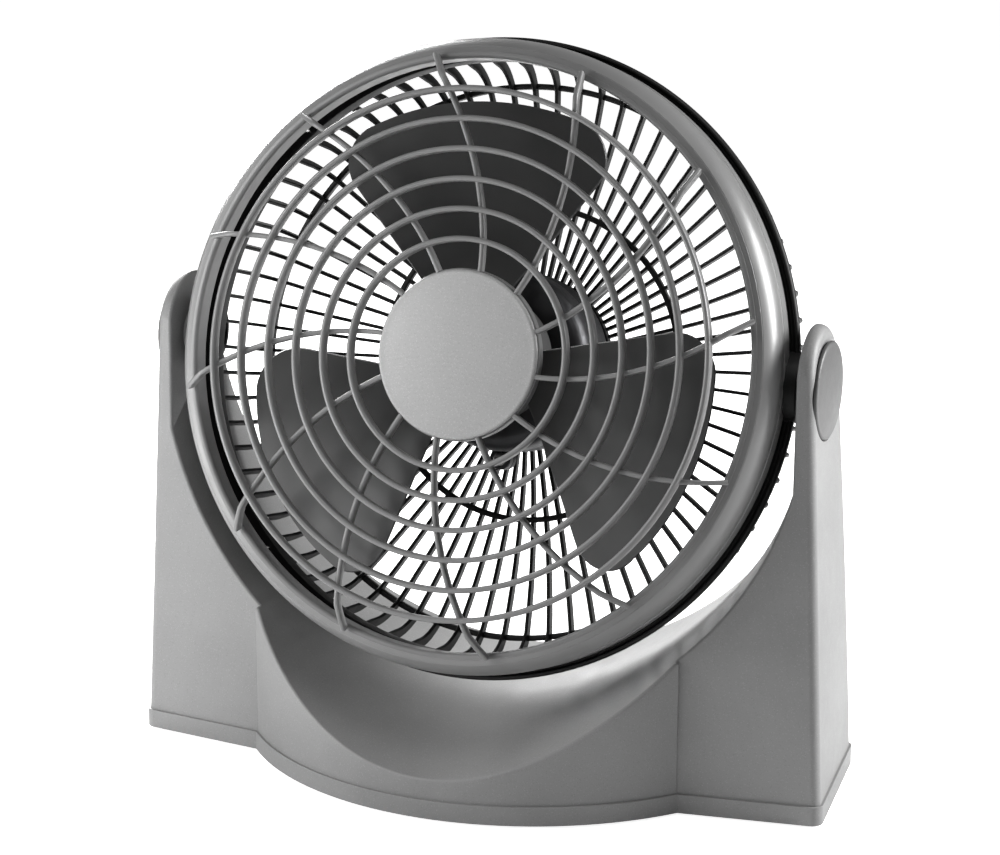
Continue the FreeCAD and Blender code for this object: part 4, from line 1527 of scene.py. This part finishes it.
# ---- control box -------------------------------------------------------------------------------
@dataclass
class ControlBox:
    """Cup on the back of the guard with the speed knob, its printed dial and the cord gland.

    Attributes:
        palette: the finishes.
        place: from the head's axes to the row frame.
    """

    palette: Palette
    place: Matrix
    face: float = -66.0
    dial_radius: float = 20.6
    gland_y: float = -23.0

    def cover(self) -> bpy.types.Object:
        """Makes the cup, with its bushing hole and a shallow step round its back.

        Returns:
            the object.
        """
        outside = [(4.6, self.face + 0.3), (4.9, self.face), (29.4, self.face), (29.7, self.face + 0.35),
                   (31.6, self.face + 0.35), *arc((31.6, self.face + 0.35), (34.0, -64.9), (35.0, -62.2), 7),
                   (36.4, -52.6), (36.5, -52.0)]
        inside = [(34.3, -52.0), (32.9, -61.6), *arc((32.9, -61.6), (32.4, -63.3), (31.0, -64.0), 4),
                  (4.6, -64.0)]
        return turned("control_cup", outside + inside, self.place, 128)

    def knob(self) -> bpy.types.Object:
        """Makes the speed knob: a dished skirt with ridges round it, a grip and a spindle.

        Returns:
            the object.
        """
        bm = bmesh.new()
        skirt = [(3.0, -71.0), (9.0, -71.0), (9.0, -68.6), (13.6, -68.6), (14.0, -69.0),
                 (13.1, -75.6), *arc((13.1, -75.6), (12.3, -77.4), (10.8, -77.9), 5), (8.4, -77.6),
                 (0.0, -77.2), (0.0, -71.0)]
        add_lathe(bm, skirt, 96)
        grip = [(-2.2, -11.4), (2.2, -11.4), (2.0, 11.2), (0.9, 12.0), (-0.9, 12.0), (-2.0, 11.2)]
        add_prism(bm, grip, -80.9, -76.6, 0.7)
        for k in range(30):
            angle = 2 * math.pi * k / 30
            add_lathe(bm, [(0.0, -76.2), (0.45, -75.9), (0.5, -69.2), (0.0, -68.9)], 8,
                      (13.5 * math.cos(angle), 13.5 * math.sin(angle)))
        add_lathe(bm, [(0.0, -72.0), (3.0, -72.0), (3.0, -58.9), (2.6, -58.4), (0.0, -58.4)], 32)
        return finish_mesh("speed_knob_cap", bm, self.place, Shading.MOULDED)

    def pointer(self) -> bpy.types.Object:
        """Makes the white line let into the grip.

        Returns:
            the object.
        """
        bm = bmesh.new()
        add_prism(bm, [(-0.45, 3.0), (0.45, 3.0), (0.45, 10.8), (-0.45, 10.8)], -80.97, -80.5, 0.04)
        return finish_mesh("knob_pointer", bm, self.place, Shading.MACHINED)

    def print_matrix(self) -> Matrix:
        """Returns the placing of print on the cover's back, read from behind."""
        turn = Matrix(((-1, 0, 0), (0, 1, 0), (0, 0, -1))).to_4x4()
        return self.place @ Matrix.Translation((0.0, 0.0, self.face)) @ turn

    def numerals(self) -> bpy.types.Object:
        """Makes the dial's four figures and the ticks between them.

        Returns:
            the object.
        """
        spin = Vector(joint("speed_knob_turn")["axis"]).dot(Vector(AXIS))
        parts = []
        for k in range(4):
            angle = math.radians(-45.0 * k) * math.copysign(1.0, spin)
            away = Matrix.Rotation(angle, 3, "Z") @ Vector((0.0, self.dial_radius, 0.0))
            curve = bpy.data.curves.new("figure", "FONT")
            curve.body, curve.size, curve.extrude = str(k), 6.4, 0.03
            curve.align_x, curve.align_y = "CENTER", "CENTER"
            holder = link("figure_%d" % k, curve)
            graph = bpy.context.evaluated_depsgraph_get()
            mesh = bpy.data.meshes.new_from_object(holder.evaluated_get(graph))
            bpy.data.objects.remove(holder)
            mesh.transform(Matrix.Translation((-away.x, away.y, 0.04)))
            mesh.transform(self.print_matrix())
            parts.append(link("figure_%d" % k, mesh))
        bm = bmesh.new()
        for k in range(4):
            angle = 45.0 * k * math.copysign(1.0, spin)
            out = Vector((math.sin(math.radians(angle)), math.cos(math.radians(angle))))
            side = Vector((out.y, -out.x)) * 0.35
            corners = [tuple(out * r + side * s) for r, s in ((15.2, -1), (15.2, 1), (16.8, 1), (16.8, -1))]
            corners = [(-x, y) for x, y in corners]
            add_prism(bm, corners, 0.0, 0.07, 0.01)
        parts.append(finish_mesh("ticks", bm, self.print_matrix(), Shading.MACHINED))
        return joined("dial_print", parts)

    def nut(self) -> bpy.types.Object:
        """Makes the switch's hexagon nut.

        Returns:
            the object.
        """
        bm = bmesh.new()
        add_prism(bm, hexagon(7.0), self.face - 1.6, self.face, 0.3)
        return finish_mesh("bushing_nut", bm, self.place, Shading.MACHINED)

    def gland(self) -> bpy.types.Object:
        """Makes the ribbed rubber collar that is ready for a supply cord.

        Returns:
            the object.
        """
        bm = bmesh.new()
        profile = [(2.6, -72.4), (2.9, -72.6), (3.5, -72.6), (3.7, -72.2)]
        for k in range(3):
            low = -71.4 + 1.7 * k
            profile += [(3.75 + 0.12 * k, low), (3.95 + 0.15 * k, low + 0.4), (3.95 + 0.15 * k, low + 0.9),
                        (3.75 + 0.12 * k, low + 1.2)]
        profile += [(4.4, -66.3), (4.4, -64.0), (5.4, -64.0), (5.4, -62.6), (2.6, -62.6)]
        add_lathe(bm, profile, 48, (0.0, self.gland_y))
        return finish_mesh("cord_collar", bm, self.place, Shading.MOULDED)

    def build(self) -> None:
        """Builds the control box."""
        self.palette.settle(self.cover(), "head", Slot.GUARD, "control_cover")
        self.palette.settle(self.numerals(), "head", Slot.PRINT, recorded=Slot.GUARD)
        self.palette.settle(self.nut(), "head", Slot.ZINC, "switch_nut")
        self.palette.settle(self.gland(), "head", Slot.GLAND, "cord_gland")
        self.palette.settle(self.knob(), "speed_knob", Slot.GRILLE, "speed_knob")
        self.palette.settle(self.pointer(), "speed_knob", Slot.PRINT, recorded=Slot.GRILLE)
        self.palette.dress(frame["nodes"]["speed_switch"], Slot.SWITCH)
        self.palette.dress(frame["nodes"]["terminal_block"], Slot.BUSH)


# ---- tilt clamps -------------------------------------------------------------------------------
@dataclass
class TiltClamp:
    """One side's clamp: bolt, dished washer, ridged disc and domed knob.

    Attributes:
        palette: the finishes.
        side: which arm.
        seat: where the floor of the arm's round recess is, out along the tilt axis.
        knob_radius: radius of the knob.
    """

    palette: Palette
    side: Side
    seat: float = 152.9
    knob_radius: float = 21.2

    def named(self, name: str) -> str:
        """Returns a name with its side in front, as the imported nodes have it."""
        return self.side.name.lower() + "_" + name

    def knob(self) -> bpy.types.Object:
        """Makes the domed knob, with a fine groove just inside its rim.

        Returns:
            the object.
        """
        low, r = self.seat + 0.6, self.knob_radius
        profile = [(5.2, low - 2.3), (9.0, low - 2.3), (9.2, low - 2.1), (9.2, low), (r - 0.6, low),
                   (r, low + 0.6), (r, low + 1.1),
                   *arc((r, low + 1.1), (r - 0.45, low + 1.75), (r - 1.4, low + 2.0), 6),
                   *arc((r - 1.4, low + 2.0), (r * 0.55, low + 2.92), (0.0, low + 3.35), 16),
                   (0.0, low + 0.8), (5.2, low + 0.8)]
        return turned(self.named("knob_disc"), profile, clamp_matrix(self.side), 128)

    def bolt(self) -> bpy.types.Object:
        """Makes the hexagon-headed bolt.

        Returns:
            the object.
        """
        bm = bmesh.new()
        add_prism(bm, hexagon(5.2), 136.6, 139.8, 0.45)
        end = self.seat + 0.6
        add_lathe(bm, [(0.0, 139.8), (3.0, 139.8), (3.0, end - 0.5), (2.5, end), (0.0, end)], 32)
        return finish_mesh(self.named("bolt"), bm, clamp_matrix(self.side), Shading.MACHINED)

    def washer(self) -> bpy.types.Object:
        """Makes the dished washer under the bolt's head.

        Returns:
            the object.
        """
        profile = [(3.05, 139.82), (7.4, 139.85),
                   *arc((7.4, 139.85), (10.2, 140.1), (12.1, 140.7), 6), (12.3, 140.9),
                   (12.1, 141.0), (8.0, 140.95), (3.05, 140.95)]
        return turned(self.named("washer"), profile, clamp_matrix(self.side), 64)

    def disc(self) -> bpy.types.Object:
        """Makes the ridged friction disc between head and arm.

        Returns:
            the object.
        """
        profile = [(3.05, 144.25), (12.3, 144.25)]
        for k in range(4):
            low = 144.35 + 0.58 * k
            profile += [(12.6, low + 0.06), (12.6, low + 0.32), (12.05, low + 0.4), (12.05, low + 0.5)]
        profile += [(12.3, 146.68), (3.05, 146.68)]
        return turned(self.named("ridged_disc"), profile, clamp_matrix(self.side), 96)

    def build(self) -> None:
        """Builds the clamp."""
        settle = self.palette.settle
        # The knob is drawn in a darker copy of the cap's grey: painted shade.
        settle(self.knob(), self.named("knob"), Slot.KNOB, self.named("knob"), recorded=Slot.CAP)
        settle(self.bolt(), "head", Slot.DARK_STEEL, self.named("tilt_bolt"))
        settle(self.washer(), "head", Slot.ZINC, self.named("tilt_washer"))
        settle(self.disc(), "head", Slot.BUSH, self.named("friction_disc"))
        self.palette.dress(frame["nodes"][self.named("knob_insert")], Slot.BRASS)
        self.palette.dress(frame["nodes"][self.named("arm_bush")], Slot.BUSH)


# ---- stand -------------------------------------------------------------------------------------
@dataclass
class Stand:
    """Hollow U-shaped stand, the tray that closes it, its feet and its screws.

    Attributes:
        palette: the finishes.
        foot_height: thickness of a foot under the tray.
        setback: how far the tilt axis stands behind the row frame's origin.
        nose_radius: radius of the round front.
        nose_centre: where the middle of that round is.
        nose_screw_angle: how far its screws stand to either side, in degrees.
        screw_inset: from the round front in to its screws.
    """

    palette: Palette
    foot_height: float = 1.5
    setback: float = 0.8
    nose_radius: float = 133.7
    nose_centre: float = 52.0
    nose_screw_angle: float = 34.0
    screw_inset: float = 6.0

    def place(self) -> Matrix:
        """Returns the placing of parts drawn on the table, with Z up."""
        return Matrix.Translation((0.0, self.setback * MM, 0.0)) @ Matrix.Scale(MM, 4)

    def feet(self) -> bpy.types.Object:
        """Makes the six rubber feet, dished underneath, each on its peg.

        Returns:
            the object.
        """
        tree = Tree("feet")
        radius, tall = 8.0, self.foot_height
        profile = [(0.0, 0.35), (4.6, 0.35), (5.2, 0.0), (7.5, 0.0), (radius, 0.4), (radius, 1.2),
                   (7.8, tall), (2.4, tall), (2.4, 4.2), (2.1, 4.5), (0.0, 4.5)]
        bm = bmesh.new()
        add_lathe(bm, profile, 40)
        mesh = baked("foot", bm)
        copies = mirrored_pairs(tree, tree.source.outputs["Geometry"],
                                [(138.0, -16.0, 0.0), (138.0, 38.0, 0.0), (34.0, -62.0, 0.0)])
        return tree.build(copies, self.palette[Slot.FOOT], self.place(), seed=mesh)

    def screws(self) -> bpy.types.Object:
        """Makes the six screws that hold the tray to the shell.

        Returns:
            the object.
        """
        tree = Tree("tray_screws")
        mesh = screw_mesh("tray_screw", (0.0, 0.0), 4.5, 3.0, 1.8, 1.35, 15.0)
        reach, turn = self.nose_radius - self.screw_inset, math.radians(self.nose_screw_angle)
        front = (reach * math.sin(turn), self.nose_centre - reach * math.cos(turn), 0.0)
        copies = mirrored_pairs(tree, tree.source.outputs["Geometry"],
                                [(153.6, 8.0, 0.0), (70.0, 46.8, 0.0), front])
        return tree.build(copies, self.palette[Slot.ZINC], self.place(), seed=mesh)

    def build(self) -> None:
        """Builds the stand's pieces and finishes its two mouldings."""
        self.palette.dress(frame["nodes"]["stand_shell"], Slot.STAND)
        self.palette.dress(frame["nodes"]["stand_base"], Slot.STAND)
        self.palette.settle(self.feet(), "stand", Slot.FOOT, "rubber_feet")
        self.palette.settle(self.screws(), "stand", Slot.ZINC, "base_screws")


# ---- studio ------------------------------------------------------------------------------------
@dataclass(frozen=True)
class Lamp:
    """One soft box.

    Attributes:
        name: the lamp's name.
        spot: where it hangs, in metres.
        aim: what it points at.
        size: its width and height.
        power: its power in watts.
    """

    name: str
    spot: tuple[float, float, float]
    aim: tuple[float, float, float]
    size: tuple[float, float]
    power: float

    def hang(self) -> None:
        """Hangs the lamp in the scene."""
        data = bpy.data.lights.new(self.name, "AREA")
        data.shape, (data.size, data.size_y), data.energy = "RECTANGLE", self.size, self.power
        lamp = bpy.data.objects.new(self.name, data)
        bpy.context.scene.collection.objects.link(lamp)
        lamp.location = self.spot
        way = Vector(self.aim) - Vector(self.spot)
        lamp.rotation_euler = way.to_track_quat("-Z", "Y").to_euler()


@dataclass
class Studio:
    """Pale floor, white surroundings, soft boxes and the camera.

    Attributes:
        azimuth: how far the camera stands round to the right of the front, in degrees.
        elevation: how far it stands above the level, in degrees.
        distance: from the camera to the tilt axis, in metres.
        across: how far its aim lies to the right of the tilt axis.
        below: how far its aim lies below it.
        lens: focal length in mm, on a film 36 mm wide.
        ambient: how strongly the surroundings light the fan.
        floor_glow: how much of its own light the floor shows the camera.
        lamps: the soft boxes.
    """

    azimuth: float = 21.9
    elevation: float = 14.99
    distance: float = 1.26518
    across: float = 0.004275
    below: float = 0.030587
    lens: float = 102.76
    ambient: float = 0.095
    floor_glow: float = 0.92
    lamps: tuple[Lamp, ...] = (
        Lamp("left_box", (-0.44, -0.44, 0.38), (-0.13, 0.0, 0.08), (0.3, 0.3), 2.0),
        Lamp("low_box", (-0.5, -0.34, 0.12), (-0.08, -0.05, 0.05), (0.2, 0.2), 1.4),
        Lamp("right_box", (0.95, 0.46, 0.5), (0.12, 0.02, 0.13), (0.4, 0.5), 17.5),
        Lamp("top_box", (0.3, -0.2, 1.2), (0.05, 0.0, 0.25), (0.5, 0.35), 2.8),
        Lamp("back_box", (-0.6, 0.6, 0.5), (0.12, 0.0, 0.08), (0.4, 0.4), 14.0),
    )

    def camera(self) -> None:
        """Sets up the camera."""
        a, e = math.radians(self.azimuth), math.radians(self.elevation)
        right = Vector((math.cos(a), math.sin(a), 0.0))
        up = Vector((-math.sin(a) * math.sin(e), math.cos(a) * math.sin(e), math.cos(e)))
        back = right.cross(up)
        aim = Vector(joint("head_tilt")["pos_m"]) + right * self.across - up * self.below
        data = bpy.data.cameras.new("camera")
        data.sensor_width, data.lens = 36.0, self.lens
        data.clip_start, data.clip_end = 0.05, 50.0
        camera = bpy.data.objects.new("camera", data)
        bpy.context.scene.collection.objects.link(camera)
        turn = Matrix((right, up, back)).transposed().to_4x4()
        camera.matrix_world = Matrix.Translation(aim + back * self.distance) @ turn
        bpy.context.scene.camera = camera

    def surroundings(self) -> None:
        """Makes the world white to look at and a softer grey to light by."""
        world = bpy.data.worlds.new("studio")
        world.use_nodes = True
        bpy.context.scene.world = world
        nodes, links = world.node_tree.nodes, world.node_tree.links
        backdrop = nodes["Background"]
        backdrop.inputs["Color"].default_value = (1.0, 1.0, 1.0, 1.0)
        seen = nodes.new("ShaderNodeLightPath")
        strength = nodes.new("ShaderNodeMapRange")
        strength.inputs["To Min"].default_value = self.ambient
        strength.inputs["To Max"].default_value = 1.0
        links.new(seen.outputs["Is Camera Ray"], strength.inputs["Value"])
        links.new(strength.outputs[0], backdrop.inputs["Strength"])
        bpy.context.scene.view_settings.view_transform = "Standard"

    def floor(self) -> None:
        """Lays the floor."""
        bm = bmesh.new()
        bmesh.ops.create_grid(bm, x_segments=8, y_segments=8, size=6.0)
        mesh = baked("floor", bm)
        floor = link("floor", mesh)
        material, w, shader = started("floor_white")
        spot = w.add("TexCoord").outputs["Object"]
        haze = w.add("TexNoise", {"Vector": spot, "Scale": 3.0, "Detail": 2.0})
        w.tree.links.new(w.mix(haze.outputs[0], grey(0.9), grey(0.93)), shader.inputs["Base Color"])
        shader.inputs["Roughness"].default_value = 0.7
        shader.inputs["Specular IOR Level"].default_value = 0.15
        shader.inputs["Emission Color"].default_value = (1.0, 1.0, 1.0, 1.0)
        seen = w.add("LightPath").outputs["Is Camera Ray"]
        w.tree.links.new(w.spread(seen, 0.0, self.floor_glow), shader.inputs["Emission Strength"])
        mesh.materials.append(material)

    def build(self) -> None:
        """Builds the studio."""
        self.floor()
        self.surroundings()
        for lamp in self.lamps:
            lamp.hang()
        self.camera()


# ---- whole -------------------------------------------------------------------------------------
def main() -> None:
    """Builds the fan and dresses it."""
    logging.basicConfig(level=logging.INFO, format="%(name)s: %(message)s")
    palette, head = Palette(), head_matrix()
    Studio().build()
    Stand(palette).build()
    for part in (FrontGrille, CentreCap, RearGuard, GrilleScrews, Motor, Propeller, ControlBox):
        part(palette, head).build()
    for side in Side:
        TiltClamp(palette, side).build()


if __name__ == "__main__":
    main()
